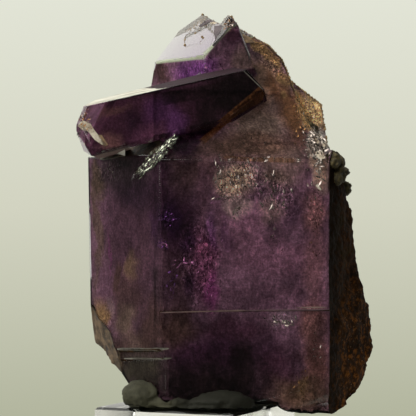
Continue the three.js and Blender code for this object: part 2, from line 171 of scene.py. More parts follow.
class Shader:
    """The nodes of one material or world."""

    def __init__(self, tree: bpy.types.NodeTree) -> None:
        """Empties the tree, which then gets its nodes from this class alone."""
        self.tree = tree
        tree.nodes.clear()

    def node(self, kind: str, settings: dict | None = None, inputs: dict | None = None) -> bpy.types.Node:
        """Adds a node.

        Args:
            kind: The node's type.
            settings: Its properties, and "stops" for a colour ramp's (place, colour) pairs.
            inputs: Values or links by a socket's identifier, name or number.

        Returns:
            The new node.
        """
        node = self.tree.nodes.new(kind)
        for name, value in (settings or {}).items():
            if name == "stops":
                self._stops(node.color_ramp, value)
            else:
                setattr(node, name, value)
        for key, value in (inputs or {}).items():
            socket = self._socket(node.inputs, key)
            source = value.socket if isinstance(value, Number) else value
            if isinstance(source, Socket):
                self.tree.links.new(source, socket)
            elif socket.type == "RGBA" and len(source) == 3:
                socket.default_value = (*source, 1.0)
            else:
                socket.default_value = source
        return node

    @staticmethod
    def _stops(ramp: bpy.types.ColorRamp, stops: Sequence[tuple[float, Colour]]) -> None:
        """Gives a ramp its stops.

        Args:
            ramp: The ramp, with no more stops than it will have.
            stops: The place, from 0 to 1, and the colour of each.
        """
        while len(ramp.elements) < len(stops):
            ramp.elements.new(0.5)
        for element, (place, colour) in zip(ramp.elements, stops):
            element.position = place
            element.color = (*colour, 1.0)

    @staticmethod
    def _socket(sockets: bpy.types.NodeInputs, key: str | int) -> Socket:
        """The socket with that number, identifier or name."""
        named = [] if isinstance(key, int) else [socket for socket in sockets if socket.identifier == key]
        return named[0] if named else sockets[key]

    def place(self) -> Socket:
        """Where the shaded point is, in the object's own metres."""
        return self.node("ShaderNodeTexCoord").outputs["Object"]

    def vector(self, operation: str, *values: object) -> Socket:
        """Adds one Vector Math node whose result is a vector."""
        return self.node("ShaderNodeVectorMath", {"operation": operation}, dict(enumerate(values))).outputs[0]

    def measure(self, operation: str, *values: object) -> Number:
        """Adds one Vector Math node whose result is a number."""
        node = self.node("ShaderNodeVectorMath", {"operation": operation}, dict(enumerate(values)))
        return Number(self, node.outputs["Value"])

    def sized(self, vector: Socket, size: float, stretch: Triple = (1.0, 1.0, 1.0)) -> Socket:
        """A place counted in a pattern's own widths, which may be longer along X, Y or Z."""
        return self.vector("MULTIPLY", vector, tuple(1.0 / (size * part) for part in stretch))

    def later(self, vector: Socket, behind: object) -> Socket:
        """The same place, but worked out after another value, of which it takes next to nothing.

        A long list of zones would otherwise be worked out all at once and not fit in the renderer's stack.
        """
        return self.vector("MULTIPLY_ADD", behind, (1e-9, 1e-9, 1e-9), vector)

    def noise(self, vector: Socket, size: float, detail: float = 3.0, rough: float = 0.55,
              stretch: Triple = (1.0, 1.0, 1.0), swirl: float = 0.0) -> Number:
        """Cloudy noise from 0 to 1.

        Args:
            vector: Where the point is.
            size: Width of one cloud, in metres.
            detail: Octaves of finer clouds.
            rough: Strength of the finer clouds.
            stretch: How much longer a cloud is along X, Y and Z.
            swirl: How far the clouds are wrung.

        Returns:
            The noise.
        """
        node = self.node("ShaderNodeTexNoise", {}, {
            "Vector": self.sized(vector, size, stretch), "Scale": 1.0, "Detail": detail,
            "Roughness": rough, "Distortion": swirl})
        return Number(self, node.outputs["Fac"])

    def cells(self, vector: Socket, size: float) -> Number:
        """Distance to the nearest of scattered points, in cell widths."""
        node = self.node("ShaderNodeTexVoronoi", {}, {"Vector": self.sized(vector, size), "Scale": 1.0})
        return Number(self, node.outputs["Distance"])

    def facets(self, vector: Socket, size: float, stretch: Triple) -> Number:
        """A random number for each small angular cell, like the faces of crushed foil.

        Args:
            vector: Where the point is.
            size: Width of one cell, in metres.
            stretch: How much longer a cell is along X, Y and Z.

        Returns:
            The number, from 0 to 1.
        """
        spot = self.sized(vector, size, stretch)
        node = self.node("ShaderNodeTexVoronoi", {}, {"Vector": spot, "Scale": 1.0})
        return Number(self, self.node("ShaderNodeSeparateColor", {}, {0: node.outputs["Color"]}).outputs[0])

    def warped(self, vector: Socket, size: float, amount: float) -> Socket:
        """A place pushed about by noise, so that patches get ragged edges.

        Args:
            vector: Where the point is.
            size: Width of one push, in metres.
            amount: Longest push, in metres.

        Returns:
            The pushed place.
        """
        node = self.node("ShaderNodeTexNoise", {}, {
            "Vector": self.sized(vector, size), "Scale": 1.0, "Detail": 4.0})
        centred = self.vector("SUBTRACT", node.outputs["Color"], (0.5, 0.5, 0.5))
        push = self.vector("MULTIPLY", centred, (2 * amount,) * 3)
        return self.vector("ADD", vector, push)

    def beyond(self, vector: Socket, normal: Vector, point: Vector, soft: float) -> Number:
        """1 on the side of a plane that its normal looks to, and 0 behind it.

        Args:
            vector: Where the point is.
            normal: The plane's unit normal.
            point: A point on the plane, in metres.
            soft: Width of the change, in metres.

        Returns:
            The mask.
        """
        level = normal.dot(point)
        return self.measure("DOT_PRODUCT", vector, normal).step(level - soft / 2, level + soft / 2)

    def mix(self, first: object, second: object, factor: Number | float, blend: str = "MIX") -> Socket:
        """One colour laid over another.

        Args:
            first: The colour below.
            second: The colour on top.
            factor: How much of the top one shows.
            blend: The Mix node's blend type.

        Returns:
            The mixed colour.
        """
        node = self.node("ShaderNodeMix", {"data_type": "RGBA", "blend_type": blend},
                         {"Factor_Float": factor, "A_Color": first, "B_Color": second})
        return next(socket for socket in node.outputs if socket.identifier == "Result_Color")

    def ramp(self, value: Number, stops: Sequence[tuple[float, Colour]]) -> Socket:
        """A colour chosen by a number."""
        return self.node("ShaderNodeValToRGB", {"stops": stops}, {"Fac": value}).outputs["Color"]

    def bump(self, height: Number, depth: float, strength: float = 1.0) -> Socket:
        """A normal bent by a height from 0 to 1 that stands for a depth in metres."""
        node = self.node("ShaderNodeBump", {}, {"Height": height, "Distance": depth, "Strength": strength})
        return node.outputs["Normal"]

    def surface(self, inputs: dict, tint: Colour | None = None, density: float = 0.0) -> None:
        """Ends the material with a Principled surface and, for something clear, what it absorbs.

        Args:
            inputs: The Principled node's values and links.
            tint: The colour that light takes on inside it, or none for a surface alone.
            density: How fast it takes that colour on.
        """
        ends = {"Surface": self.node("ShaderNodeBsdfPrincipled", {}, inputs).outputs["BSDF"]}
        if tint:
            volume = self.node("ShaderNodeVolumeAbsorption", {}, {"Color": tint, "Density": density})
            ends["Volume"] = volume.outputs["Volume"]
        self.node("ShaderNodeOutputMaterial", {}, ends)


class Finish:
    """A look, which makes one material of its name."""

    name: str

    def make(self) -> bpy.types.Material:
        """Makes the material.

        Returns:
            The material, filled.
        """
        made = bpy.data.materials.new(self.name)
        made.use_nodes = True
        self.fill(Shader(made.node_tree))
        return made

    def fill(self, shader: Shader) -> None:
        """Gives the material its nodes, as each look does in its own way."""
        raise NotImplementedError(self.name)


# ---------------------------------------------------------------- the bench


class Bench:
    """Blender's own tools, used on one piece at a time."""

    @staticmethod
    def new(name: str, mesh: bpy.types.Mesh) -> Piece:
        """Puts a mesh in the scene as a piece.

        Args:
            name: The piece's name.
            mesh: Its mesh, which no other piece uses.

        Returns:
            The piece.
        """
        piece = bpy.data.objects.new(name, mesh)
        bpy.context.scene.collection.objects.link(piece)
        return piece

    @staticmethod
    def alone(piece: Piece) -> None:
        """Selects this piece and nothing else.

        Args:
            piece: The piece, which becomes the active one.
        """
        bpy.ops.object.select_all(action="DESELECT")
        piece.select_set(True)
        bpy.context.view_layer.objects.active = piece

    @staticmethod
    @contextmanager
    def editing(piece: Piece, mode: str = "FACE", picked: str = "DESELECT") -> Iterator[None]:
        """Opens the piece in edit mode, and closes it again.

        Args:
            piece: The piece.
            mode: What can be picked: VERT, EDGE or FACE.
            picked: SELECT to open it with all of it picked, or DESELECT with nothing.

        Returns:
            The context, which gives nothing.
        """
        Bench.alone(piece)
        bpy.ops.object.mode_set(mode="EDIT")
        bpy.ops.mesh.select_mode(type=mode)
        bpy.ops.mesh.select_all(action=picked)
        yield
        bpy.ops.object.mode_set(mode="OBJECT")

    @staticmethod
    def pick_faces(piece: Piece, wanted: Callable[[Face], bool]) -> None:
        """Picks the faces that a test accepts, in edit mode.

        Args:
            piece: The piece, open in edit mode.
            wanted: The test.
        """
        mesh = bmesh.from_edit_mesh(piece.data)
        for face in mesh.faces:
            face.select_set(wanted(face))
        bmesh.update_edit_mesh(piece.data)

    @staticmethod
    def pick_edges(piece: Piece, wanted: Callable[[Edge], bool]) -> None:
        """Picks the edges that a test accepts, in edit mode.

        Args:
            piece: The piece, open in edit mode.
            wanted: The test.
        """
        mesh = bmesh.from_edit_mesh(piece.data)
        for edge in [edge for edge in mesh.edges if wanted(edge)]:
            edge.select_set(True)
        bmesh.update_edit_mesh(piece.data)

    @staticmethod
    def copy_of(node: str, name: str) -> Piece:
        """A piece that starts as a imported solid, its loose triangles merged.

        Args:
            node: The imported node's name.
            name: The new piece's name.

        Returns:
            The new piece.
        """
        piece = Bench.new(name, frame["nodes"][node].data.copy())
        piece.data.materials.clear()
        with Bench.editing(piece, "VERT", "SELECT"):
            bpy.ops.mesh.remove_doubles(threshold=0.01 * MM)
        return piece

    @staticmethod
    def unite_flat(piece: Piece) -> None:
        """Makes one face of the triangles of each flat side."""
        with Bench.editing(piece, "FACE", "SELECT"):
            bpy.ops.mesh.dissolve_limited(angle_limit=math.radians(0.5))

    @staticmethod
    def modify(piece: Piece, kind: str, **settings: object) -> None:
        """Adds a modifier and applies it at once.

        Args:
            piece: The piece.
            kind: The modifier's type.
            settings: Its properties.
        """
        Bench.alone(piece)
        modifier = piece.modifiers.new(kind.title(), kind)
        for name, value in settings.items():
            setattr(modifier, name, value)
        bpy.ops.object.modifier_apply(modifier=modifier.name)

    @staticmethod
    def sink(piece: Piece, depth: float) -> None:
        """Pushes a surface in along its normals, everywhere by the same depth in metres."""
        Bench.modify(piece, "DISPLACE", texture_coords="LOCAL", strength=depth, mid_level=2.0)

    @staticmethod
    def dent(piece: Piece, size: float, depth: float, octaves: int = 2, group: str = "",
             middle: float = 1.0) -> None:
        """Pushes a surface in along its normals by clouds.

        Args:
            piece: The piece to shape.
            size: Width of one cloud, in metres.
            depth: Deepest push, in metres.
            octaves: Finer clouds on the first.
            group: The vertex group that moves, or all of the piece.
            middle: The brightness of the clouds that stands still, so that 1 only pushes in.
        """
        clouds = bpy.data.textures.new(f"{piece.name}_clouds", "CLOUDS")
        clouds.noise_scale = size
        clouds.noise_depth = octaves
        Bench.modify(piece, "DISPLACE", texture=clouds, texture_coords="LOCAL", strength=depth,
                     mid_level=middle, vertex_group=group)

    @staticmethod
    def smooth(piece: Piece, angle: float) -> None:
        """Shades smooth, apart from edges sharper than an angle in degrees."""
        Bench.alone(piece)
        bpy.ops.object.shade_smooth_by_angle(angle=math.radians(angle))

    @staticmethod
    def joined(name: str, shapes: Sequence[Shape]) -> Piece:
        """Many small closed shapes as one piece.

        Args:
            name: The piece's name.
            shapes: Corners and faces of each shape.

        Returns:
            The piece.
        """
        corners: list[Vector] = []
        faces: list[tuple[int, ...]] = []
        for points, sides in shapes:
            start = len(corners)
            corners.extend(points)
            faces.extend(tuple(start + number for number in side) for side in sides)
        mesh = bpy.data.meshes.new(name)
        mesh.from_pydata(corners, [], faces)
        piece = Bench.new(name, mesh)
        with Bench.editing(piece, "FACE", "SELECT"):
            bpy.ops.mesh.normals_make_consistent(inside=False)
        return piece

    @staticmethod
    def from_front(piece: Piece, place: Vector) -> tuple[bool, Vector, Vector, int]:
        """The first point of a piece that is met on the way back from in front of a place.

        Args:
            piece: The piece.
            place: The place, whose depth doesn't count.

        Returns:
            Whether there is one, where it is, its normal and its face's number.
        """
        return piece.ray_cast(Vector((place.x, -100 * MM, place.z)), BACK)

    @staticmethod
    def wear(piece: Piece, *finishes: Finish) -> None:
        """Fills the piece's material slots.

        Args:
            piece: The piece.
            finishes: Its looks, in the order of their slots.
        """
        piece.data.materials.clear()
        for finish in finishes:
            piece.data.materials.append(finish.make())

    @staticmethod
    def place(piece: Piece, slot: str, replaced: str = "") -> None:
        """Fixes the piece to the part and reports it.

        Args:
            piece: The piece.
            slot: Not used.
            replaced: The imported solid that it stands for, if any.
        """
        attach(piece, "root")
        if replaced:
            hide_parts(replaced)
        LOG.info("%s: %d faces", piece.name, len(piece.data.polygons))

    @staticmethod
    def dress(piece: Piece, finish: Finish, slot: str = "amethyst", replaced: str = "") -> None:
        """Gives the piece its one look, and fixes it to the part."""
        Bench.wear(piece, finish)
        Bench.place(piece, slot, replaced)


@dataclass(frozen=True)
class Stone:
    """The amethyst's box, in which places are shares of its width and height."""

    low: Vector
    size: Vector

    @classmethod
    def packed(cls) -> "Stone":
        """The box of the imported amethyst."""
        low, high = (Vector(corner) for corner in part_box("amethyst"))
        return cls(low, high - low)

    def at(self, across: float, up: float) -> Vector:
        """A place on the box's front, given as shares of it from its left and its foot."""
        return self.low + Vector((across * self.size.x, 0.0, up * self.size.z))


STONE = Stone.packed()

# The heart is cut back to two planes behind the clear end face, which meet in this corner.
CLEAR_CORNER = Vector((1.2, 1.6, 82.1)) * MM
CLEAR_NORMALS = (Vector((0.291, 0.228, 0.929)), Vector((-0.644, 0.425, 0.513)))


# ---------------------------------------------------------------- zones of colour


class Tone(Enum):
    """Colours of the stone's inside, as linear reflectance."""

    MAUVE = (0.295, 0.148, 0.222)
    MALLOW = (0.430, 0.200, 0.300)
    HEATHER = (0.125, 0.056, 0.088)
    LAVENDER = (0.170, 0.080, 0.115)
    DIM = (0.140, 0.070, 0.080)
    SHADE = (0.120, 0.056, 0.078)
    GLOOM = (0.080, 0.044, 0.058)
    PLUM = (0.060, 0.026, 0.052)
    INK = (0.040, 0.012, 0.042)
    NIGHT = (0.055, 0.019, 0.042)
    PITCH = (0.020, 0.010, 0.012)
    DUSK = (0.098, 0.033, 0.062)
    WINE = (0.240, 0.080, 0.160)
    FIRE = (0.260, 0.075, 0.160)
    ROSE = (0.420, 0.130, 0.250)
    MAGENTA = (0.420, 0.065, 0.300)
    VIOLET = (0.360, 0.100, 0.420)
    GRAPE = (0.260, 0.080, 0.300)
    LILAC = (0.440, 0.270, 0.350)
    PEARL = (0.640, 0.440, 0.440)
    DOVE = (0.430, 0.270, 0.260)
    SMOKE = (0.390, 0.265, 0.215)
    BARK = (0.190, 0.105, 0.075)
    BROWN = (0.090, 0.046, 0.036)
    UMBER = (0.112, 0.056, 0.052)
    TAUPE = (0.215, 0.140, 0.112)
    OAK = (0.165, 0.105, 0.078)
    HONEY = (0.270, 0.160, 0.110)
    CLAY = (0.190, 0.085, 0.078)
    ROSEWOOD = (0.330, 0.150, 0.150)
    GOLD = (0.950, 0.660, 0.500)
    # The painted glow of the backlit outer column.
    AMBER = (0.920, 0.640, 0.330)
    STRAW = (0.750, 0.480, 0.210)
    OCHRE = (0.400, 0.235, 0.110)
    RUST = (0.280, 0.100, 0.030)
    SLATE = (0.080, 0.065, 0.046)
    # The painted highlight of glints on the outer column's corner.
    FROST = (0.900, 0.860, 0.800)
    # Painted backdrop light, seen through the clear end face.
    ICE = (0.750, 0.820, 0.600)
    SIENNA = (0.270, 0.130, 0.065)
    IRIS = (0.100, 0.036, 0.100)


@dataclass(frozen=True)
class Zone:
    """A place with a soft rim, as shares of the stone's width and height, whose name labels its node."""

    name: str
    across: float
    up: float
    wide: float
    tall: float
    strength: float = 1.0
    lean: float = 0.0
    soft: float = 0.9

    def mask(self, shader: Shader, spot: Socket) -> Number:
        """1 in the middle of the zone, falling to 0 past its rim, at any depth.

        Args:
            shader: The shader that gets the nodes.
            spot: Where the point is, in metres.

        Returns:
            The mask, times the zone's strength.
        """
        rim, any_depth = 0.8, 1000.0
        node = shader.node("ShaderNodeMapping", {"vector_type": "TEXTURE", "label": self.name}, {
            "Vector": spot,
            "Location": STONE.at(self.across, self.up),
            "Rotation": (0.0, math.radians(self.lean), 0.0),
            "Scale": (self.wide * STONE.size.x, any_depth, self.tall * STONE.size.z),
        })
        away = shader.measure("LENGTH", node.outputs[0])
        return away.step(rim + self.soft / 2, rim - self.soft / 2) * self.strength


@dataclass(frozen=True)
class Bar:
    """A straight bar round a place, as shares of the stone's width and height, whose name labels its node."""

    name: str
    across: float
    up: float
    long: float
    thick: float
    lean: float = 0.0
    strength: float = 1.0

    def mask(self, shader: Shader, spot: Socket) -> Number:
        """1 along the bar and 0 off it, at any depth. The bar leans upwards to the right.

        Args:
            shader: The shader that gets the nodes.
            spot: Where the point is, in metres.

        Returns:
            The mask, times the bar's strength.
        """
        lean = math.radians(self.lean)
        along = Vector((math.cos(lean), 0.0, math.sin(lean)))
        aside = Vector((-math.sin(lean), 0.0, math.cos(lean)))
        middle = STONE.at(self.across, self.up)
        mask: Number | float = self.strength
        for axis, reach, soft in ((along, self.long / 2, 1.2 * MM), (aside, self.thick / 2, 0.35 * MM)):
            for side in (axis, -axis):
                mask = shader.beyond(spot, side, middle - side * reach, soft) * mask
        mask.socket.node.label = self.name
        return mask


STEM_ZONES = (
    (Tone.HEATHER, Zone("left face", 0.18, 0.42, 0.13, 0.3)),
    (Tone.GLOOM, Zone("left top", 0.125, 0.585, 0.125, 0.06, 0.95)),
    (Tone.PLUM, Zone("left top violet", 0.2, 0.533, 0.09, 0.045, 0.8)),
    (Tone.OAK, Zone("left rim", 0.055, 0.45, 0.018, 0.21, 0.8)),
    (Tone.LAVENDER, Zone("left veil", 0.098, 0.4, 0.02, 0.045, 0.7)),
    (Tone.LAVENDER, Zone("left lilac", 0.218, 0.37, 0.03, 0.07, 0.9)),
    (Tone.GLOOM, Zone("left dusk", 0.266, 0.31, 0.02, 0.07, 0.7)),
    (Tone.IRIS, Zone("left violet", 0.265, 0.465, 0.022, 0.05, 0.8)),
    (Tone.MAGENTA, Zone("left streak", 0.095, 0.39, 0.006, 0.06, 0.3)),
    (Tone.HONEY, Zone("left glow", 0.182, 0.352, 0.034, 0.034)),
    (Tone.HONEY, Zone("left glow tail", 0.188, 0.385, 0.016, 0.02, 0.5)),
    (Tone.BROWN, Zone("left spot", 0.126, 0.325, 0.022, 0.045, 0.8)),
    (Tone.UMBER, Zone("left brown", 0.165, 0.277, 0.06, 0.065, 0.7)),
    (Tone.TAUPE, Zone("left haze", 0.155, 0.222, 0.045, 0.045, 0.95)),
    (Tone.OAK, Zone("left haze foot", 0.2, 0.17, 0.06, 0.035, 0.8)),
    (Tone.BROWN, Zone("left edge shade", 0.25, 0.215, 0.042, 0.09, 0.85)),
    (Tone.PEARL, Zone("pale corner", 0.097, 0.262, 0.018, 0.03, 0.35)),
    (Tone.OCHRE, Zone("left corner", 0.075, 0.22, 0.026, 0.06, 0.95)),
    (Tone.OAK, Zone("left top rim", 0.058, 0.58, 0.026, 0.05, 0.85)),
    (Tone.BROWN, Zone("left slope", 0.13, 0.14, 0.06, 0.05, 0.9)),
    (Tone.SLATE, Zone("toe", 0.22, 0.105, 0.11, 0.06)),
    (Tone.SHADE, Zone("dark side", 0.33, 0.34, 0.065, 0.33, 0.95)),
    (Tone.DIM, Zone("upper left", 0.385, 0.6, 0.11, 0.08)),
    (Tone.LAVENDER, Zone("left of the middle", 0.414, 0.525, 0.028, 0.09, 0.9)),
    (Tone.NIGHT, Zone("upper edge", 0.274, 0.55, 0.04, 0.105, 0.85)),
    (Tone.NIGHT, Zone("night", 0.345, 0.46, 0.075, 0.1, 0.95)),
    (Tone.INK, Zone("black violet", 0.31, 0.475, 0.04, 0.06, 0.95)),
    (Tone.FIRE, Zone("fire", 0.422, 0.365, 0.055, 0.105, 0.85)),
    (Tone.INK, Zone("fire gap", 0.373, 0.417, 0.03, 0.035, 0.7)),
    (Tone.ROSE, Zone("rose glow", 0.412, 0.405, 0.022, 0.025, 0.8)),
    (Tone.INK, Zone("fire hole", 0.37, 0.315, 0.025, 0.03, 0.7)),
    (Tone.MAGENTA, Zone("fire column", 0.448, 0.296, 0.028, 0.05, 0.6)),
    (Tone.VIOLET, Zone("violet column", 0.448, 0.445, 0.02, 0.05, 0.35)),
    (Tone.VIOLET, Zone("violet swirl", 0.495, 0.43, 0.022, 0.045, 0.4)),
    (Tone.MALLOW, Zone("light middle", 0.55, 0.424, 0.09, 0.09, 0.75)),
    (Tone.MALLOW, Zone("light right", 0.68, 0.376, 0.11, 0.042, 0.85)),
    (Tone.SHADE, Zone("dim middle", 0.61, 0.295, 0.14, 0.04, 0.28)),
    (Tone.GOLD, Zone("gold patch", 0.524, 0.572, 0.07, 0.046)),
    (Tone.PEARL, Zone("pale ray", 0.53, 0.508, 0.045, 0.032, 0.9)),
    (Tone.TAUPE, Zone("brown haze", 0.67, 0.62, 0.11, 0.032, 0.9)),
    (Tone.DOVE, Zone("grey haze", 0.675, 0.59, 0.085, 0.05, 0.75)),
    (Tone.TAUPE, Zone("haze gap", 0.665, 0.577, 0.06, 0.022, 0.75)),
    (Tone.DOVE, Zone("grey patch", 0.635, 0.49, 0.05, 0.045, 0.7)),
    (Tone.INK, Zone("dark cleft", 0.715, 0.49, 0.028, 0.05, 0.5, 25.0)),
    (Tone.ROSEWOOD, Zone("warm edge", 0.785, 0.49, 0.045, 0.06, 0.9)),
    (Tone.ROSEWOOD, Zone("pink edge", 0.785, 0.36, 0.045, 0.12, 0.55)),
    (Tone.ROSEWOOD, Zone("low warm edge", 0.775, 0.22, 0.05, 0.06)),
    (Tone.DUSK, Zone("below the line", 0.5, 0.205, 0.15, 0.045, 0.9)),
    (Tone.UMBER, Zone("lower left", 0.324, 0.208, 0.08, 0.07)),
    (Tone.NIGHT, Zone("lower shade", 0.46, 0.15, 0.19, 0.055)),
    (Tone.HEATHER, Zone("under the veil", 0.68, 0.145, 0.09, 0.035, 0.95)),
    (Tone.NIGHT, Zone("low left", 0.37, 0.13, 0.08, 0.05, 0.9)),
    (Tone.PITCH, Zone("lower void", 0.55, 0.125, 0.05, 0.07, 0.9)),
    (Tone.NIGHT, Zone("lower dusk", 0.62, 0.15, 0.06, 0.06, 0.7)),
    (Tone.LILAC, Zone("lilac veil", 0.677, 0.232, 0.052, 0.026)),
    (Tone.DUSK, Zone("low purple", 0.66, 0.1, 0.08, 0.05, 0.8)),
    (Tone.PITCH, Zone("dark foot", 0.44, 0.06, 0.28, 0.085)),
    (Tone.CLAY, Zone("brown corner", 0.785, 0.105, 0.05, 0.07)),
    (Tone.BARK, Zone("foot right", 0.745, 0.045, 0.13, 0.055)),
    (Tone.CLAY, Zone("right foot", 0.805, 0.15, 0.045, 0.09, 0.9)),
    (Tone.STRAW, Zone("corner speckle", 0.74, 0.065, 0.025, 0.03, 0.2)),
    (Tone.SMOKE, Zone("sloping face", 0.6, 0.71, 0.14, 0.07, 0.95)),
    (Tone.BARK, Zone("slope foot", 0.57, 0.65, 0.21, 0.038, 0.95)),
    # A painted shadow just below the crossing crystal's lower edge.
    (Tone.NIGHT, Zone("under edge", 0.355, 0.645, 0.05, 0.038)),
    (Tone.PEARL, Zone("pale haze", 0.645, 0.768, 0.035, 0.03, 0.75)),
    (Tone.HONEY, Zone("middle column", 0.63, 0.82, 0.08, 0.09, 0.95)),
    (Tone.SIENNA, Zone("column seam", 0.712, 0.735, 0.042, 0.11, 1.0, -15.0)),
    (Tone.OCHRE, Zone("orange spot", 0.697, 0.775, 0.014, 0.014, 1.0, 0.0, 0.4)),
    (Tone.RUST, Zone("column stain", 0.655, 0.8, 0.02, 0.05, 0.5, -15.0)),
    # Painted glow: the outer column is painted amber-bright, as if lit through from behind.
    (Tone.AMBER, Zone("outer column", 0.795, 0.745, 0.045, 0.075, 0.95)),
    (Tone.STRAW, Zone("gold stripe", 0.755, 0.738, 0.02, 0.08, 0.9, -15.0, 0.6)),
    # Painted highlights: pale glints on the outer column's broken corner.
    (Tone.FROST, Zone("white foil", 0.8, 0.655, 0.044, 0.042, 1.0, 0.0, 0.6)),
    (Tone.GOLD, Zone("white seam", 0.8, 0.6, 0.036, 0.065, 0.95, -15.0, 0.9)),
    (Tone.OCHRE, Zone("top stain", 0.63, 0.895, 0.1, 0.018, 1.0, 48.0, 0.5)),
    (Tone.OCHRE, Zone("top edge", 0.7, 0.82, 0.04, 0.02, 0.9, 55.0, 0.5)),
    (Tone.DOVE, Zone("band haze", 0.548, 0.868, 0.045, 0.04, 0.9)),
    (Tone.DUSK, Zone("upper violet", 0.515, 0.935, 0.05, 0.04, 0.9)),
    (Tone.GRAPE, Zone("violet band", 0.395, 0.845, 0.085, 0.045, 0.95)),
    (Tone.UMBER, Zone("band shade", 0.27, 0.845, 0.035, 0.04, 0.9)),
)

CROSSING_ZONES = (
    (Tone.OAK, Zone("tip stain", 0.045, 0.725, 0.03, 0.025, 0.6)),
    (Tone.CLAY, Zone("brown streak", 0.11, 0.732, 0.07, 0.014, 0.6, -11.0)),
    (Tone.NIGHT, Zone("dark zone", 0.2, 0.7, 0.05, 0.035, 0.85, -12.0)),
    (Tone.GRAPE, Zone("violet haze", 0.285, 0.733, 0.065, 0.045, 0.35)),
    (Tone.ROSEWOOD, Zone("tip foot", 0.112, 0.655, 0.045, 0.022, 0.8)),
    (Tone.WINE, Zone("pink foot", 0.258, 0.672, 0.085, 0.032, 0.95, -12.0)),
    (Tone.GRAPE, Zone("purple bloom", 0.335, 0.695, 0.035, 0.045, 0.5)),
    (Tone.PITCH, Zone("dark end", 0.52, 0.78, 0.15, 0.09, 1.0, -12.0)),
    (Tone.PITCH, Zone("dark heart", 0.425, 0.705, 0.045, 0.06, 0.8)),
)

CROSSING_BARS = (
    (Tone.PITCH, Bar("under the top edge", 0.45, 0.79, 21 * MM, 2.6 * MM, 12.0, 0.65)),
    (Tone.RUST, Bar("rusty end", 0.528, 0.734, 16 * MM, 2.1 * MM, 41.0, 0.7)),
)

STEM_BARS = (
    (Tone.SIENNA, Bar("brown streak", 0.6, 0.617, 14 * MM, 0.6 * MM, -2.0, 0.75)),
    (Tone.BROWN, Bar("upper brown streak", 0.65, 0.654, 9 * MM, 0.7 * MM, 3.0, 0.6)),
    # A painted shadow that the crossing crystal casts on the face below it.
    (Tone.NIGHT, Bar("painted shadow under the crossing", 0.478, 0.742, 18 * MM, 6.0 * MM, 36.6)),
    (Tone.RUST, Bar("rust under the crossing", 0.455, 0.688, 7 * MM, 1.3 * MM, 43.0, 0.7)),
)

# Zones where glints and shaded facets are painted into the heart's colour.
PAINTED_GLINT_ZONES = (
    Zone("gold patch", 0.54, 0.57, 0.09, 0.06),
    Zone("grey sparks", 0.67, 0.53, 0.09, 0.07, 0.8),
    Zone("right edge", 0.79, 0.495, 0.045, 0.06, 0.6),
    Zone("low right edge", 0.78, 0.23, 0.05, 0.07, 0.45),
    Zone("fire", 0.4, 0.38, 0.09, 0.13, 0.8),
    Zone("violet glints", 0.295, 0.475, 0.025, 0.03),
    Zone("corner", 0.085, 0.2, 0.04, 0.07, 0.5),
    Zone("shoulder", 0.1, 0.59, 0.07, 0.035, 0.6),
    Zone("veil", 0.675, 0.225, 0.06, 0.03, 0.6),
    Zone("slope", 0.62, 0.66, 0.16, 0.07, 0.4),
    Zone("columns", 0.785, 0.73, 0.04, 0.1, 0.9),
    Zone("top", 0.65, 0.87, 0.1, 0.03, 1.0, 50.0),
    Zone("band", 0.4, 0.84, 0.1, 0.04, 0.5),
)


# ---------------------------------------------------------------- finishes


@dataclass(frozen=True)
class ClearAmethyst(Finish):
    """The stone's clear skin: glass that a little violet dims, with growth lines on its faces."""

    name: str = "clear_amethyst"
    ior: float = 1.544
    density: float = 60.0
    tint: Colour = (0.70, 0.58, 0.74)
    polish: float = 0.03

    def fill(self, shader: Shader) -> None:
        """Gives the material its nodes.

        Args:
            shader: The material's nodes.
        """
        spot = shader.place()
        fine = shader.noise(spot, 0.5 * MM, 3.0, 0.6, (3.0, 3.0, 0.6))
        lines = shader.noise(spot, 0.35 * MM, 2.0, 0.5, (40.0, 40.0, 1.0))
        broad = shader.noise(spot, 6 * MM, 3.0)
        relief = fine * 0.35 + lines * 0.35 + broad * 0.3
        shader.surface({
            "Base Color": (1.0, 1.0, 1.0),
            "Roughness": self.polish + 0.08 * broad.step(0.5, 0.75),
            "IOR": self.ior,
            "Transmission Weight": 1.0,
            "Normal": shader.bump(relief, 0.12 * MM, 0.5),
        }, self.tint, self.density)


@dataclass(frozen=True)
class FrostAndSheenTop(Finish):
    """The crossing crystal's narrow top: frosted and streaked, painted pale at first as a sheen of light from
    above, and dark past its middle.
    """

    name: str = "frost_and_sheen_top"
    frost: Colour = (0.930, 0.910, 0.800)
    streak: Colour = (0.420, 0.390, 0.330)
    dim: Colour = (0.045, 0.026, 0.034)
    dim_facing: Triple = (0.70, 0.72, 0.0)
    dim_start: Triple = (-6.0 * MM, -8.3 * MM, 0.0)

    def fill(self, shader: Shader) -> None:
        """Gives the material its nodes.

        Args:
            shader: The material's nodes.
        """
        spot = shader.place()
        streaks = shader.noise(spot, 0.8 * MM, 4.0, 0.65, (9.0, 1.0, 9.0))
        past = shader.beyond(shader.warped(spot, 1.5 * MM, 1.4 * MM),
                             Vector(self.dim_facing), Vector(self.dim_start), 0.8 * MM)
        # Painted sheen: the ramp's pale end stands in for light from above reflected off the face.
        frost_and_sheen_colour = shader.ramp(streaks, ((0.36, self.streak), (0.64, self.frost)))
        shader.surface({
            "Base Color": shader.mix(frost_and_sheen_colour, self.dim, past),
            "Roughness": 0.5 + 0.4 * streaks,
            "Specular IOR Level": 0.1,
            "Normal": shader.bump(streaks, 0.2 * MM),
        })


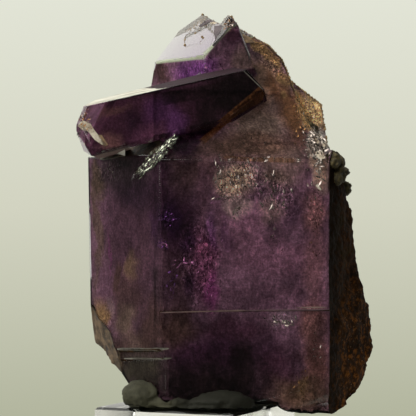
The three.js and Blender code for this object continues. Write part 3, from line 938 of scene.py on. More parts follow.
@dataclass(frozen=True)
class IronCrust(Finish):
    """The broken side: black and brown iron oxide with orange and olive growths."""

    name: str = "iron_crust"
    dark: Colour = (0.010, 0.005, 0.002)
    brown: Colour = (0.070, 0.028, 0.008)
    orange: Colour = (0.260, 0.090, 0.016)
    olive: Colour = (0.040, 0.030, 0.010)
    pale: Colour = (0.300, 0.200, 0.110)
    inner_edge: float = 28.5 * MM

    def fill(self, shader: Shader) -> None:
        """Gives the material its nodes.

        Args:
            shader: The material's nodes.
        """
        spot = shader.place()
        broad = shader.noise(spot, 5 * MM, 5.0, 0.6)
        fine = shader.noise(spot, 1.1 * MM, 5.0, 0.65)
        grain = shader.cells(spot, 0.9 * MM)
        low = shader.beyond(spot, -UP, STONE.at(0.0, 0.30), 22 * MM)
        body = shader.ramp(broad * 0.5 + fine * 0.5, ((0.36, self.dark), (0.62, self.brown)))
        rusty = fine.step(0.50, 0.62) * (0.15 + 0.75 * low)
        body = shader.mix(body, self.orange, rusty)
        mossy = broad.step(0.54, 0.64) * (1 - low)
        body = shader.mix(body, self.olive, mossy * 0.7)
        body = shader.mix(body, self.pale, grain.step(0.20, 0.08) * low * 0.7)
        inner = shader.beyond(spot, -RIGHT, RIGHT * self.inner_edge, 3 * MM)
        body = shader.mix(body, self.dark, inner * 0.8)
        shader.surface({
            "Base Color": body,
            "Roughness": 0.55 + 0.35 * fine,
            "Specular IOR Level": 0.08,
            "Normal": shader.bump(fine * 0.6 + grain * 0.4, 0.6 * MM, 0.9),
        })


@dataclass(frozen=True)
class CloudyInside(Finish):
    """The cloudy heart: zones of violet, smoke and rust, among them painted shadows, a painted glow and
    painted highlights, with veils, hatching, and crushed clefts whose glints and shaded facets are painted
    into the colour.

    A contrast says how many times over a layer doubles the light from its darkest spot to its palest.
    """

    name: str = "cloudy_inside"
    base: Tone = Tone.MAUVE
    crossing_base: Tone = Tone.DUSK
    painted_glint_chip: Colour = (2.2, 2.4, 2.35)
    painted_shade_chip: Colour = (0.30, 0.26, 0.30)
    veil_contrast: float = 3.4
    streak_contrast: float = 1.2
    hatch_contrast: float = 1.0
    mottle_contrast: float = 2.2
    painted_glint_contrast: float = 3.0
    brushed_contrast: float = 3.6
    grit_contrast: float = 2.6
    left_start: float = -7.5 * MM
    slope: tuple[float, float] = (8.0, 38.2)
    slope_spot: Triple = (0.0, -12.0 * MM, 60.4 * MM)
    underside: Triple = (0.21, 0.0, -0.98)
    underside_spot: Triple = (-6.0 * MM, 0.0, 75.6 * MM)
    batch: int = 12

    def fill(self, shader: Shader) -> None:
        """Gives the material its nodes.

        Args:
            shader: The material's nodes.
        """
        spot = shader.place()
        ragged = shader.warped(shader.warped(spot, 7 * MM, 2.4 * MM), 1.5 * MM, 0.7 * MM)
        stem = self._painted(shader, ragged, self.base.value, STEM_ZONES)
        stem = self._painted(shader, spot, stem, STEM_BARS)
        crossing = self._painted(shader, ragged, self.crossing_base.value, CROSSING_ZONES)
        crossing = self._painted(shader, spot, crossing, CROSSING_BARS)
        in_crossing = self._in_crossing(shader, spot)
        left = shader.beyond(spot, -RIGHT, RIGHT * self.left_start, 1.5 * MM)
        calm = (1 - 0.4 * left) * (1 - 0.2 * in_crossing)
        painted_glints = self._sum(shader, ragged, PAINTED_GLINT_ZONES) * (1 - in_crossing)
        veil = shader.noise(ragged, 4.5 * MM, 3.0, 0.5, (1.0, 1.0, 1.3))
        streaks = shader.noise(spot, 0.32 * MM, 3.0, 0.6, (1.0, 1.0, 7.0))
        hatch = shader.noise(spot, 0.32 * MM, 3.0, 0.6, (7.0, 7.0, 1.0))
        mottle = shader.noise(spot, 1.0 * MM, 5.0, 0.7, (1.0, 1.0, 1.2))
        brushed = shader.noise(spot, 2.4 * MM, 5.0, 0.65, (1.0, 1.0, 1.5), 1.6)
        grit = shader.noise(spot, 0.4 * MM, 2.0, 0.6)
        # The mottle's contrast is raised in the glinting zones, as painted glitter.
        light = 2.0 ** (
            (veil - 0.5) * self.veil_contrast * calm
            + (streaks - 0.5) * self.streak_contrast
            + (hatch - 0.5) * self.hatch_contrast * calm
            + (mottle - 0.5) * (self.mottle_contrast + self.painted_glint_contrast * painted_glints) * calm
            + (brushed - 0.5) * self.brushed_contrast * calm
            + (grit - 0.5) * self.grit_contrast)
        colour = shader.mix(stem, crossing, in_crossing)
        colour = shader.mix(colour, self._grey(shader, light), 1.0, "MULTIPLY")
        # Painted glints and painted shade: in the glinting zones, small random facets are brightened or
        # darkened as if clefts caught or missed the light.
        chips = shader.facets(shader.warped(spot, 1.2 * MM, 0.5 * MM), 0.24 * MM, (1.0, 1.0, 2.0))
        bright = shader.mix(colour, self.painted_glint_chip, 1.0, "MULTIPLY")
        dark = shader.mix(colour, self.painted_shade_chip, 1.0, "MULTIPLY")
        colour = shader.mix(colour, bright, chips.step(0.78, 0.86) * painted_glints)
        colour = shader.mix(colour, dark, chips.step(0.26, 0.16) * painted_glints)
        # Painted light: the cut face behind the clear end face is painted pale, standing in for the bright
        # backdrop seen through the stone.
        colour = shader.mix(colour, Tone.ICE.value, self._cut_face(shader, spot))
        shader.surface({
            "Base Color": colour,
            "Roughness": 0.6,
            "Specular IOR Level": 0.0,
            "Normal": shader.bump(mottle * 0.6 + streaks * 0.4, 0.5 * MM, 0.8),
        })

    def _painted(self, shader: Shader, spot: Socket, colour: object,
                 layers: Sequence[tuple[Tone, Zone | Bar]]) -> object:
        """Lays zones or bars over a colour, one after another.

        Args:
            shader: The material's nodes.
            spot: Where the point is.
            colour: The colour below.
            layers: The tone and the place of each.

        Returns:
            The colour of them all.
        """
        for number, (tone, place) in enumerate(layers, 1):
            colour = shader.mix(colour, tone.value, place.mask(shader, spot))
            if number % self.batch == 0:
                spot = shader.later(spot, colour)
        return colour

    def _sum(self, shader: Shader, spot: Socket, zones: Sequence[Zone]) -> Number:
        """Adds zones up.

        Args:
            shader: The material's nodes.
            spot: Where the point is.
            zones: The zones.

        Returns:
            Their masks together, from 0 to 1.
        """
        total: Number | float = 0.0
        for number, zone in enumerate(zones, 1):
            total = zone.mask(shader, spot) + total
            if number % self.batch == 0:
                spot = shader.later(spot, total)
        return total.step(0.0, 1.0)

    @staticmethod
    def _grey(shader: Shader, value: Number) -> Socket:
        """A number as a grey colour."""
        return shader.node("ShaderNodeCombineColor", {}, {0: value, 1: value, 2: value}).outputs[0]

    def _in_crossing(self, shader: Shader, spot: Socket) -> Number:
        """Marks the crossing crystal, which lies in front of the sloping end face.

        Args:
            shader: The material's nodes.
            spot: Where the point is.

        Returns:
            1 inside the crossing crystal and 0 outside it.
        """
        ahead = shader.beyond(spot, outward(*self.slope), Vector(self.slope_spot), 0.6 * MM)
        under = shader.beyond(spot, Vector(self.underside), Vector(self.underside_spot), 0.6 * MM)
        return ahead * under

    @staticmethod
    def _cut_face(shader: Shader, spot: Socket) -> Number:
        """1 on the top of the heart right behind the clear end face, which gets a painted pale colour for the
        backdrop seen through it.
        """
        top, side = (shader.beyond(spot, normal, CLEAR_CORNER - normal * 0.9 * MM, 0.4 * MM)
                     for normal in CLEAR_NORMALS)
        return top * side


class Spark(Enum):
    """The kinds of bright flakes inside the stone, as linear reflectance."""

    PALE = (0.70, 0.60, 0.54)
    MAGENTA = (0.42, 0.16, 0.32)
    VIOLET = (0.38, 0.13, 0.50)
    RUSTY = (0.46, 0.24, 0.10)
    SMOKY = (0.10, 0.08, 0.08)


@dataclass(frozen=True)
class FlakeFinish(Finish):
    """A cleft or inclusion that flashes inside the stone."""

    spark: Spark
    roughness: float = 0.12
    shade: float = 0.55

    @property
    def name(self) -> str:
        """The material's name."""
        return f"{self.spark.name.lower()}_flake"

    def fill(self, shader: Shader) -> None:
        """Gives the material its nodes.

        Args:
            shader: The material's nodes.
        """
        mottle = shader.noise(shader.place(), 0.6 * MM, 2.0)
        shaded = tuple(part * self.shade for part in self.spark.value)
        shader.surface({
            "Base Color": shader.mix(self.spark.value, shaded, mottle),
            "Metallic": 1.0,
            "Roughness": self.roughness + 0.25 * mottle,
        })


@dataclass(frozen=True)
class GrainFinish(Finish):
    """A dull growth on the stone, mottled from a lighter to a darker colour."""

    name: str
    light: Colour
    dark: Colour
    size: float = 1.6 * MM
    stretch: Triple = (1.0, 1.0, 1.0)

    def fill(self, shader: Shader) -> None:
        """Gives the material its nodes.

        Args:
            shader: The material's nodes.
        """
        mottle = shader.noise(shader.place(), self.size, 4.0, 0.65, self.stretch)
        shader.surface({
            "Base Color": shader.ramp(mottle, ((0.36, self.dark), (0.64, self.light))),
            "Roughness": 0.5 + 0.4 * mottle,
            "Normal": shader.bump(mottle, 0.2 * MM),
        })


@dataclass(frozen=True)
class EtchedSilver(Finish):
    """The etched ledge, whose small bright faces look like crumpled foil."""

    name: str = "etched_silver"
    light: Colour = (0.80, 0.83, 0.68)
    shade: Colour = (0.30, 0.31, 0.25)

    def fill(self, shader: Shader) -> None:
        """Gives the material its nodes.

        Args:
            shader: The material's nodes.
        """
        mottle = shader.noise(shader.place(), 0.7 * MM, 3.0)
        shader.surface({
            "Base Color": shader.ramp(mottle, ((0.35, self.shade), (0.6, self.light))),
            "Metallic": 0.9,
            "Roughness": 0.1 + 0.3 * mottle,
        })


@dataclass(frozen=True)
class PuttyFinish(Finish):
    """Mounting putty: grey-green, dull and faintly grubby, with a painted shadow that darkens it under the
    stone's right side.
    """

    name: str = "mounting_putty"
    clean: Colour = (0.062, 0.060, 0.036)
    grubby: Colour = (0.020, 0.019, 0.011)
    # The colour of the painted shadow under the stone's right side, which begins at shade_start.
    shaded: Colour = (0.012, 0.012, 0.008)
    lint: Colour = (0.030, 0.028, 0.022)
    shade_start: float = -4 * MM

    def fill(self, shader: Shader) -> None:
        """Gives the material its nodes.

        Args:
            shader: The material's nodes.
        """
        spot = shader.place()
        broad = shader.noise(spot, 3 * MM, 4.0, 0.6)
        fine = shader.noise(spot, 0.5 * MM, 3.0, 0.6)
        linty = shader.cells(spot, 1.3 * MM).step(0.10, 0.04)
        colour = shader.ramp(broad * 0.7 + fine * 0.3, ((0.35, self.grubby), (0.62, self.clean)))
        # Painted shadow: the putty gets darker towards the right, under the stone.
        right = shader.beyond(spot, RIGHT, RIGHT * self.shade_start, 5 * MM)
        colour = shader.mix(colour, self.shaded, right * 0.9)
        shader.surface({
            "Base Color": shader.mix(colour, self.lint, linty * 0.6),
            "Roughness": 0.62 + 0.25 * fine,
            "Specular IOR Level": 0.25,
            "Normal": shader.bump(broad * 0.5 + fine * 0.5, 0.25 * MM, 0.7),
        })


@dataclass(frozen=True)
class AcrylicFinish(Finish):
    """Clear acrylic with faint polishing marks and a few scratches."""

    name: str = "clear_acrylic"
    ior: float = 1.49
    tint: Colour = (0.94, 0.97, 0.93)
    density: float = 6.0

    def fill(self, shader: Shader) -> None:
        """Gives the material its nodes.

        Args:
            shader: The material's nodes.
        """
        spot = shader.place()
        marks = shader.noise(spot, 0.25 * MM, 2.0, 0.5, (30.0, 2.0, 30.0))
        haze = shader.noise(spot, 9 * MM, 4.0)
        shader.surface({
            "Base Color": (1.0, 1.0, 1.0),
            "Roughness": 0.02 + 0.07 * haze.step(0.45, 0.75),
            "IOR": self.ior,
            "Transmission Weight": 1.0,
            "Normal": shader.bump(marks, 0.01 * MM, 0.3),
        }, self.tint, self.density)


@dataclass(frozen=True)
class FloorFinish(Finish):
    """A plain pale floor that fades out before its rim."""

    radius: float
    name: str = "floor"
    pale: Colour = (0.62, 0.62, 0.56)

    def fill(self, shader: Shader) -> None:
        """Gives the material its nodes.

        Args:
            shader: The material's nodes.
        """
        away = shader.measure("LENGTH", shader.place())
        shader.surface({
            "Base Color": self.pale,
            "Roughness": 0.7,
            "Alpha": away.step(self.radius * 0.98, self.radius * 0.45),
        })


# ---------------------------------------------------------------- the stone


@dataclass
class Skin:
    """The clear outside of the stone, with its crust on the broken right side and its duller faces.

    The recess of the clear end face is kept shallow: each of its floors has a depth and a lift.
    """

    rough_face: float = 5 * MM * MM
    crust_face: float = 90 * MM * MM
    rocky_face: float = 7 * MM * MM
    top_face: float = 12 * MM * MM
    slender: float = 60.0
    rough_top: float = 62.5 * MM
    flank_start: float = 24 * MM
    crust_start: float = 27.5 * MM
    foot_top: float = 33 * MM
    stained_end: float = -4 * MM
    stained_top: float = 68 * MM
    rocky_end: float = -14.5 * MM
    rocky_top: float = 31 * MM
    shoulder_end: float = -9 * MM
    shoulder: tuple[float, float] = (58 * MM, 64 * MM)
    bevel: float = 0.07 * MM
    sharp: float = math.radians(12)
    long_edge: float = 3 * MM
    clear_facing: Triple = (-0.6357, -0.4619, 0.6185)
    clear_spot: Triple = (-1.18 * MM, 11.35 * MM, 86.62 * MM)
    clear_foot: float = 80 * MM
    floors: tuple[tuple[float, float], ...] = ((0.6 * MM, 0.40 * MM), (0.3 * MM, 0.18 * MM))
    crossing_top: Triple = (-0.16, -0.23, 0.96)

    def build(self) -> Piece:
        """Copies the solid, rounds its long edges and roughens its broken places.

        Returns:
            The skin.
        """
        piece = Bench.copy_of("amethyst", "amethyst_skin")
        Bench.unite_flat(piece)
        with Bench.editing(piece, "EDGE"):
            Bench.pick_edges(piece, self._is_crystal_edge)
            bpy.ops.mesh.bevel(offset=self.bevel, segments=2, affect="EDGES", clamp_overlap=False)
        for depth, lift in self.floors:
            with Bench.editing(piece):
                Bench.pick_faces(piece, lambda face, floor=depth: self._is_floor(face, floor))
                bpy.ops.transform.translate(value=Vector(self.clear_facing) * lift)
        piece.vertex_groups.new(name="rough")
        with Bench.editing(piece):
            Bench.pick_faces(piece, self._is_rough)
            bpy.ops.mesh.subdivide(number_cuts=2)
            bpy.ops.mesh.select_less()
            bpy.ops.object.vertex_group_assign()
        Bench.dent(piece, 2.4 * MM, 1.0 * MM, 3, "rough", 0.6)
        Bench.dent(piece, 0.9 * MM, 0.5 * MM, 2, "rough", 0.55)
        Bench.smooth(piece, 60)
        with Bench.editing(piece):
            Bench.pick_faces(piece, lambda face: face.calc_area() > self.rough_face)
            bpy.ops.mesh.faces_shade_flat()
        return piece

    def dress(self, piece: Piece) -> None:
        """Gives the faces their glass, the broken right side its crust and the duller faces their stain.

        Args:
            piece: The skin.
        """
        Bench.wear(
            piece, ClearAmethyst(), IronCrust(),
            GrainFinish("stained_rock", (0.160, 0.105, 0.062), (0.022, 0.014, 0.009)),
            GrainFinish("stained_face", (0.135, 0.085, 0.085), (0.060, 0.032, 0.045),
                        3 * MM, (1.0, 1.0, 3.0)),
            FrostAndSheenTop())
        kinds = (self._is_crust, self._is_stained, self._is_behind, self._is_top)
        for number, wanted in enumerate(kinds, 1):
            with Bench.editing(piece):
                Bench.pick_faces(piece, wanted)
                piece.active_material_index = number
                bpy.ops.object.material_slot_assign()
        Bench.place(piece, "amethyst", "amethyst")

    def _is_crystal_edge(self, edge: Edge) -> bool:
        """Tells a long sharp edge between two smooth faces.

        Args:
            edge: The edge.

        Returns:
            True for such an edge.
        """
        if len(edge.link_faces) != 2 or edge.calc_length() < self.long_edge:
            return False
        plain = all(face.calc_area() > self.rough_face for face in edge.link_faces)
        return plain and edge.calc_face_angle() > self.sharp

    def _is_floor(self, face: Face, depth: float) -> bool:
        """Tells a floor of the clear end face's recess.

        Args:
            face: The face.
            depth: How far the floor lies below the end face, in metres.

        Returns:
            True for a face of that floor.
        """
        facing, centre = Vector(self.clear_facing), face.calc_center_median()
        level = (centre - Vector(self.clear_spot)).dot(facing)
        parallel = face.normal.dot(facing) > 0.999
        return centre.z > self.clear_foot and parallel and abs(level + depth) < 0.1 * MM

    def _is_rough(self, face: Face) -> bool:
        """Tells a small stubby face of a broken place.

        Args:
            face: The face.

        Returns:
            True for such a face.
        """
        area = face.calc_area()
        centre = face.calc_center_median()
        placed = centre.z < self.rough_top and (centre.x > self.flank_start or centre.z < self.foot_top)
        return placed and area < self.rough_face and face.calc_perimeter() ** 2 < self.slender * area

    def _is_crust(self, face: Face) -> bool:
        """Tells a face of the broken right side or under the foot.

        Args:
            face: The face.

        Returns:
            True for such a face.
        """
        centre = face.calc_center_median()
        if face.calc_area() > self.crust_face or centre.z > self.rough_top:
            return False
        right = centre.x > self.flank_start and (face.normal.x > 0.2 or centre.x > self.crust_start)
        return right or (centre.z < self.foot_top and face.normal.z < -0.25)

    def _is_stained(self, face: Face) -> bool:
        """Tells a face of the rocky lower left, the left shoulder or the crossing crystal's underside.

        Args:
            face: The face.

        Returns:
            True for such a face.
        """
        centre, area = face.calc_center_median(), face.calc_area()
        if centre.x > self.stained_end or centre.z > self.stained_top:
            return False
        rocky = centre.z < self.rocky_top and centre.x < self.rocky_end and area < self.rocky_face
        low, high = self.shoulder
        shoulder = low < centre.z < high and centre.x < self.shoulder_end and face.normal.z > 0.6
        under = face.normal.dot(outward(-52, 38.2)) > 0.97
        return rocky or shoulder or under

    def _is_behind(self, face: Face) -> bool:
        """True on the face behind the left edge."""
        return face.calc_center_median().z < self.rough_top and face.normal.dot(outward(-112, 0)) > 0.97

    def _is_top(self, face: Face) -> bool:
        """True for the narrow top face of the crossing crystal."""
        facing = Vector(self.crossing_top).normalized()
        return face.normal.dot(facing) > 0.995 and face.calc_area() > self.top_face


@dataclass
class Heart:
    """The cloudy inside, a shell's depth below the skin. It is calmer where it would show as lumps."""

    grid: float = 0.5 * MM
    depth: float = 0.12 * MM
    shell: float = 0.10 * MM
    corner: Triple = (-18.9 * MM, -12.0 * MM, 67.0 * MM)
    corner_facing: Triple = (-0.75, -0.35, 0.55)
    full_room: float = 9 * MM
    calm: float = 0.25
    calm_left: float = -8 * MM
    calm_top: float = 74 * MM
    flank: float = 20 * MM
    inset: float = 0.05 * MM

    def build(self, skin: Piece) -> Piece:
        """Shrinks a copy of the skin, cuts it free of its clear tips and breaks up its surface.

        Args:
            skin: The stone's outside, which the heart stays inside.

        Returns:
            The heart.
        """
        piece = Bench.new("cloudy_heart", skin.data.copy())
        self._remesh(piece)
        wedge = self._clear_wedge()
        Bench.modify(piece, "BOOLEAN", object=wedge, operation="DIFFERENCE", solver="MANIFOLD")
        bpy.data.objects.remove(wedge)
        self._cut(piece, Vector(self.corner), Vector(self.corner_facing).normalized())
        Bench.sink(piece, self.depth)
        self._remesh(piece)
        self._weigh(piece)
        Bench.dent(piece, 5 * MM, 1.5 * MM, group="room")
        Bench.dent(piece, 1.6 * MM, 0.6 * MM, group="room")
        Bench.modify(piece, "SHRINKWRAP", target=skin, wrap_mode="INSIDE", offset=self.shell)
        Bench.smooth(piece, 50)
        return piece

    def _remesh(self, piece: Piece) -> None:
        """Gives the piece one even closed surface.

        Args:
            piece: The heart.
        """
        piece.data.remesh_voxel_size = self.grid
        Bench.alone(piece)
        bpy.ops.object.voxel_remesh()

    def _clear_wedge(self) -> Piece:
        """Makes the space behind the clear end face, which looks through it to the back.

        Returns:
            The space, as a solid to cut with.
        """
        bpy.ops.object.select_all(action="DESELECT")
        bpy.ops.mesh.primitive_cube_add(size=90 * MM, location=CLEAR_CORNER)
        wedge = bpy.context.object
        bpy.ops.object.transform_apply()
        for normal in CLEAR_NORMALS:
            self._cut(wedge, CLEAR_CORNER, -normal)
        return wedge

    def _weigh(self, piece: Piece) -> None:
        """Weighs each corner by the thickness behind it, so that thin places are pushed in less.

        Args:
            piece: The heart.
        """
        group = piece.vertex_groups.new(name="room")
        tree = BVHTree.FromPolygons([corner.co for corner in piece.data.vertices],
                                    [face.vertices for face in piece.data.polygons])
        for corner in piece.data.vertices:
            start = corner.co - corner.normal * self.inset
            spot, _, _, distance = tree.ray_cast(start, -corner.normal)
            room = min(1.0, (distance if spot else self.full_room) / self.full_room)
            calm = self.calm if corner.co.x < self.calm_left or corner.co.z > self.calm_top else 1.0
            if corner.normal.x > 0.3 and corner.co.x > self.flank:
                calm = 0.0
            group.add([corner.index], calm * room, "REPLACE")

    @staticmethod
    def _cut(piece: Piece, point: Vector, normal: Vector) -> None:
        """Takes away what lies beyond a plane and closes the cut."""
        with Bench.editing(piece, "VERT", "SELECT"):
            bpy.ops.mesh.bisect(plane_co=point, plane_no=normal, use_fill=True, clear_outer=True)

    def dress(self, piece: Piece) -> None:
        """Gives the heart its zones of colour."""
        Bench.dress(piece, CloudyInside())


class Sliver:
    """A small closed double pyramid: a flake, a needle or a blade."""

    @staticmethod
    def shape(centre: Vector, along: Vector, facing: Vector,
              length: float, width: float, thick: float) -> Shape:
        """Makes one sliver.

        Args:
            centre: Its middle.
            along: Its long direction.
            facing: The direction that its flat side looks in.
            length: Its whole length.
            width: Its whole width.
            thick: Its whole thickness.

        Returns:
            Its corners and faces.
        """
        long_axis = along.normalized()
        flat_axis = (facing - long_axis * facing.dot(long_axis)).normalized()
        side_axis = long_axis.cross(flat_axis)
        reach = (long_axis * length / 2, side_axis * width / 2, flat_axis * thick / 2)
        corners = [centre + sign * axis for axis in reach for sign in (1, -1)]
        sides = [(a, b, c) for a in (0, 1) for b in (2, 3) for c in (4, 5)]
        return corners, sides


@dataclass(frozen=True)
class Cluster:
    """A swarm of flakes round a place, as shares of the stone's width and height."""

    spark: Spark
    count: int
    across: float
    up: float
    wide: float
    tall: float
    length: float = 0.6 * MM
    lean: float = 0.0
    on_skin: bool = False


CLUSTERS = (
    Cluster(Spark.PALE, 260, 0.535, 0.58, 0.07, 0.04, 0.55 * MM, -25),
    Cluster(Spark.PALE, 60, 0.47, 0.59, 0.012, 0.045, 0.6 * MM),
    Cluster(Spark.PALE, 50, 0.48, 0.53, 0.03, 0.016, 0.6 * MM, 60),
    Cluster(Spark.PALE, 70, 0.66, 0.545, 0.07, 0.04, 0.6 * MM),
    Cluster(Spark.PALE, 40, 0.645, 0.505, 0.014, 0.06, 0.8 * MM, 10),
    Cluster(Spark.PALE, 26, 0.69, 0.52, 0.012, 0.05, 0.8 * MM, -10),
    Cluster(Spark.PALE, 9, 0.53, 0.486, 0.016, 0.01, 1.0 * MM),
    Cluster(Spark.PALE, 60, 0.56, 0.66, 0.14, 0.035, 0.4 * MM),
    Cluster(Spark.PALE, 60, 0.6, 0.618, 0.18, 0.005, 0.5 * MM, 80),
    Cluster(Spark.PALE, 16, 0.534, 0.501, 0.01, 0.01, 0.6 * MM, 60),
    Cluster(Spark.PALE, 8, 0.658, 0.546, 0.005, 0.016, 0.8 * MM, 10),
    Cluster(Spark.PALE, 8, 0.684, 0.543, 0.008, 0.014, 0.8 * MM, -30),
    Cluster(Spark.PALE, 8, 0.665, 0.505, 0.005, 0.018, 0.8 * MM, 5),
    Cluster(Spark.PALE, 24, 0.66, 0.405, 0.04, 0.04, 0.5 * MM),
    Cluster(Spark.PALE, 70, 0.675, 0.226, 0.05, 0.016, 0.6 * MM, -50),
    Cluster(Spark.PALE, 40, 0.1, 0.59, 0.05, 0.025, 0.6 * MM, 20),
    Cluster(Spark.PALE, 70, 0.785, 0.13, 0.05, 0.09, 0.4 * MM),
    Cluster(Spark.PALE, 90, 0.79, 0.56, 0.03, 0.09, 0.5 * MM, -25),
    Cluster(Spark.RUSTY, 60, 0.745, 0.07, 0.03, 0.04, 0.35 * MM),
    Cluster(Spark.MAGENTA, 130, 0.41, 0.4, 0.07, 0.1, 0.5 * MM, 30),
    Cluster(Spark.MAGENTA, 40, 0.365, 0.37, 0.03, 0.012, 0.8 * MM, 50),
    Cluster(Spark.MAGENTA, 80, 0.42, 0.3, 0.06, 0.045, 0.5 * MM, 20),
    Cluster(Spark.MAGENTA, 10, 0.386, 0.153, 0.014, 0.014, 0.8 * MM, 45),
    Cluster(Spark.MAGENTA, 90, 0.42, 0.855, 0.08, 0.025, 0.45 * MM),
    Cluster(Spark.VIOLET, 90, 0.3, 0.478, 0.026, 0.014, 0.4 * MM, 70),
    Cluster(Spark.VIOLET, 50, 0.285, 0.415, 0.018, 0.016, 0.4 * MM, 50),
    Cluster(Spark.MAGENTA, 24, 0.29, 0.412, 0.016, 0.01, 0.5 * MM, 50),
    Cluster(Spark.VIOLET, 60, 0.31, 0.32, 0.03, 0.04, 0.4 * MM, 30),
    Cluster(Spark.RUSTY, 60, 0.085, 0.21, 0.03, 0.05, 0.5 * MM),
    Cluster(Spark.RUSTY, 60, 0.79, 0.45, 0.03, 0.09, 0.35 * MM),
    Cluster(Spark.PALE, 380, 0.79, 0.658, 0.034, 0.036, 0.7 * MM, -40, True),
    Cluster(Spark.PALE, 130, 0.8, 0.61, 0.018, 0.06, 0.6 * MM, -25, True),
    Cluster(Spark.RUSTY, 160, 0.735, 0.735, 0.022, 0.07, 0.45 * MM, -15, True),
    Cluster(Spark.PALE, 70, 0.77, 0.74, 0.04, 0.06, 0.4 * MM, 20, True),
    Cluster(Spark.PALE, 36, 0.508, 0.966, 0.016, 0.018, 0.4 * MM, 30, True),
    Cluster(Spark.RUSTY, 50, 0.504, 0.962, 0.018, 0.016, 0.35 * MM, 30, True),
    Cluster(Spark.SMOKY, 120, 0.508, 0.97, 0.02, 0.02, 0.35 * MM, -20, True),
    Cluster(Spark.SMOKY, 40, 0.425, 0.968, 0.026, 0.008, 0.35 * MM, 60, True),
    Cluster(Spark.SMOKY, 60, 0.03, 0.68, 0.03, 0.02, 0.4 * MM, 60, True),
    Cluster(Spark.RUSTY, 60, 0.028, 0.718, 0.02, 0.03, 0.4 * MM, 30, True),
    Cluster(Spark.PALE, 50, 0.028, 0.712, 0.02, 0.03, 0.35 * MM, 30, True),
)


@dataclass
class Sparks:
    """Flakes that lie on the heart, or on the skin's broken corners, and flash."""

    seed: int = 11
    stray: int = 500
    stray_top: float = 80 * MM
    stray_length: float = 0.6 * MM
    inner_flash: Triple = (-0.14, -0.97, 0.22)
    outer_flash: Triple = (-0.35, -0.85, 0.38)
    tumble: float = 32.0
    tilt: float = 0.15
    proud: float = 0.15 * MM
    sizes: tuple[float, ...] = (0.4, 0.5, 0.6, 0.7, 0.9, 1.2, 2.2)
    slimmest: float = 0.12 * MM
    thick: float = 0.07 * MM

    def build(self, heart: Piece, skin: Piece) -> dict[Spark, Piece]:
        """Scatters the clusters over the front, and strays over the heart's other sides.

        Args:
            heart: The cloudy inside.
            skin: The stone's outside.

        Returns:
            One piece for each kind of spark.
        """
        chance = random.Random(self.seed)
        bpy.context.view_layer.update()
        swarms: dict[Spark, list[Shape]] = {spark: [] for spark in Spark}
        for cluster in CLUSTERS:
            ground, flash = (skin, self.outer_flash) if cluster.on_skin else (heart, self.inner_flash)
            for _ in range(cluster.count):
                place = STONE.at(chance.gauss(cluster.across, cluster.wide / 2),
                                 chance.gauss(cluster.up, cluster.tall / 2))
                hit, spot, _, _ = Bench.from_front(ground, place)
                if hit:
                    swarms[cluster.spark].append(
                        self._flake(chance, spot, Vector(flash), cluster.length, cluster.lean))
        faces = heart.data.polygons
        kinds = list(Spark)
        for number in range(self.stray):
            face = faces[chance.randrange(len(faces))]
            spark = kinds[number % len(kinds)]
            if face.normal.y > -0.2 and face.center.z < self.stray_top and spark is not Spark.SMOKY:
                swarms[spark].append(
                    self._flake(chance, face.center.copy(), face.normal.copy(), self.stray_length, 0.0))
        return {spark: Bench.joined(f"{spark.name.lower()}_sparks", shapes)
                for spark, shapes in swarms.items()}

    def _flake(self, chance: random.Random, spot: Vector, flash: Vector, length: float, lean: float) -> Shape:
        """Makes one flake, tipped a little at random and half sunk in its ground.

        Args:
            chance: Where its tipping and its size come from.
            spot: Where it lies.
            flash: The direction that its flat side looks in.
            length: The length that its own is a share of.
            lean: How far its long side leans from upright, in degrees.

        Returns:
            Its corners and faces.
        """
        tip = math.radians(chance.gauss(lean, self.tumble))
        along = Vector((math.sin(tip), chance.gauss(0, 0.2), math.cos(tip)))
        facing = flash + Vector([chance.gauss(0, self.tilt) for _ in range(3)])
        size = length * chance.choice(self.sizes)
        middle = spot + flash * chance.uniform(0.0, self.proud)
        width = max(self.slimmest, size * chance.uniform(0.16, 0.34))
        return Sliver.shape(middle, along, facing, size, width, self.thick)

    def dress(self, pieces: dict[Spark, Piece]) -> None:
        """Gives each kind its own flash."""
        for spark, piece in pieces.items():
            Bench.dress(piece, FlakeFinish(spark))


@dataclass
class EtchedLedge:
    """Rows of small bright blades that climb from the left face to the crossing crystal.

    Its route, its lanes and how far a blade strays are in millimetres.
    """

    start: Triple = (-11.2, 0.0, 57.6)
    end: Triple = (-3.9, 0.0, 64.9)
    lanes: tuple[float, ...] = (-0.9, -0.25, 0.3, 0.9)
    blades: int = 34
    stray: float = 0.14
    thick: float = 0.2 * MM
    seed: int = 5

    def build(self, skin: Piece) -> Piece:
        """Lays the blades on the skin along their route, in lanes that draw together at its ends.

        Args:
            skin: The stone's outside.

        Returns:
            The ledge.
        """
        chance = random.Random(self.seed)
        start = Vector(self.start)
        route = Vector(self.end) - start
        aside = Vector((route.z, 0.0, -route.x)).normalized()
        shapes = []
        for lane in self.lanes:
            for number in range(self.blades):
                share = (number + chance.random()) / self.blades
                spread = lane * math.sin(math.pi * (0.2 + 0.7 * share)) + chance.gauss(0, self.stray)
                hit, spot, normal, _ = Bench.from_front(skin, (start + route * share + aside * spread) * MM)
                if hit:
                    along = route.normalized() + Vector([chance.gauss(0, 0.3) for _ in range(3)])
                    facing = Vector((chance.gauss(-0.35, 0.4), -0.85, chance.gauss(0.38, 0.5)))
                    shapes.append(Sliver.shape(
                        spot + normal * chance.uniform(0.0, 0.25) * MM, along, facing,
                        chance.uniform(0.5, 1.9) * MM, chance.uniform(0.18, 0.5) * MM, self.thick))
        return Bench.joined("etched_ledge", shapes)

    def dress(self, piece: Piece) -> None:
        """Gives the blades their silvery faces."""
        Bench.dress(piece, EtchedSilver())


@dataclass(frozen=True)
class Inlay:
    """A small face or edge laid on the skin, its corners as shares of the stone's width and height.

    With two corners it is a bar of the given thickness, otherwise a facet.
    """

    name: str
    corners: tuple[tuple[float, float], ...]
    thick: float = 0.0


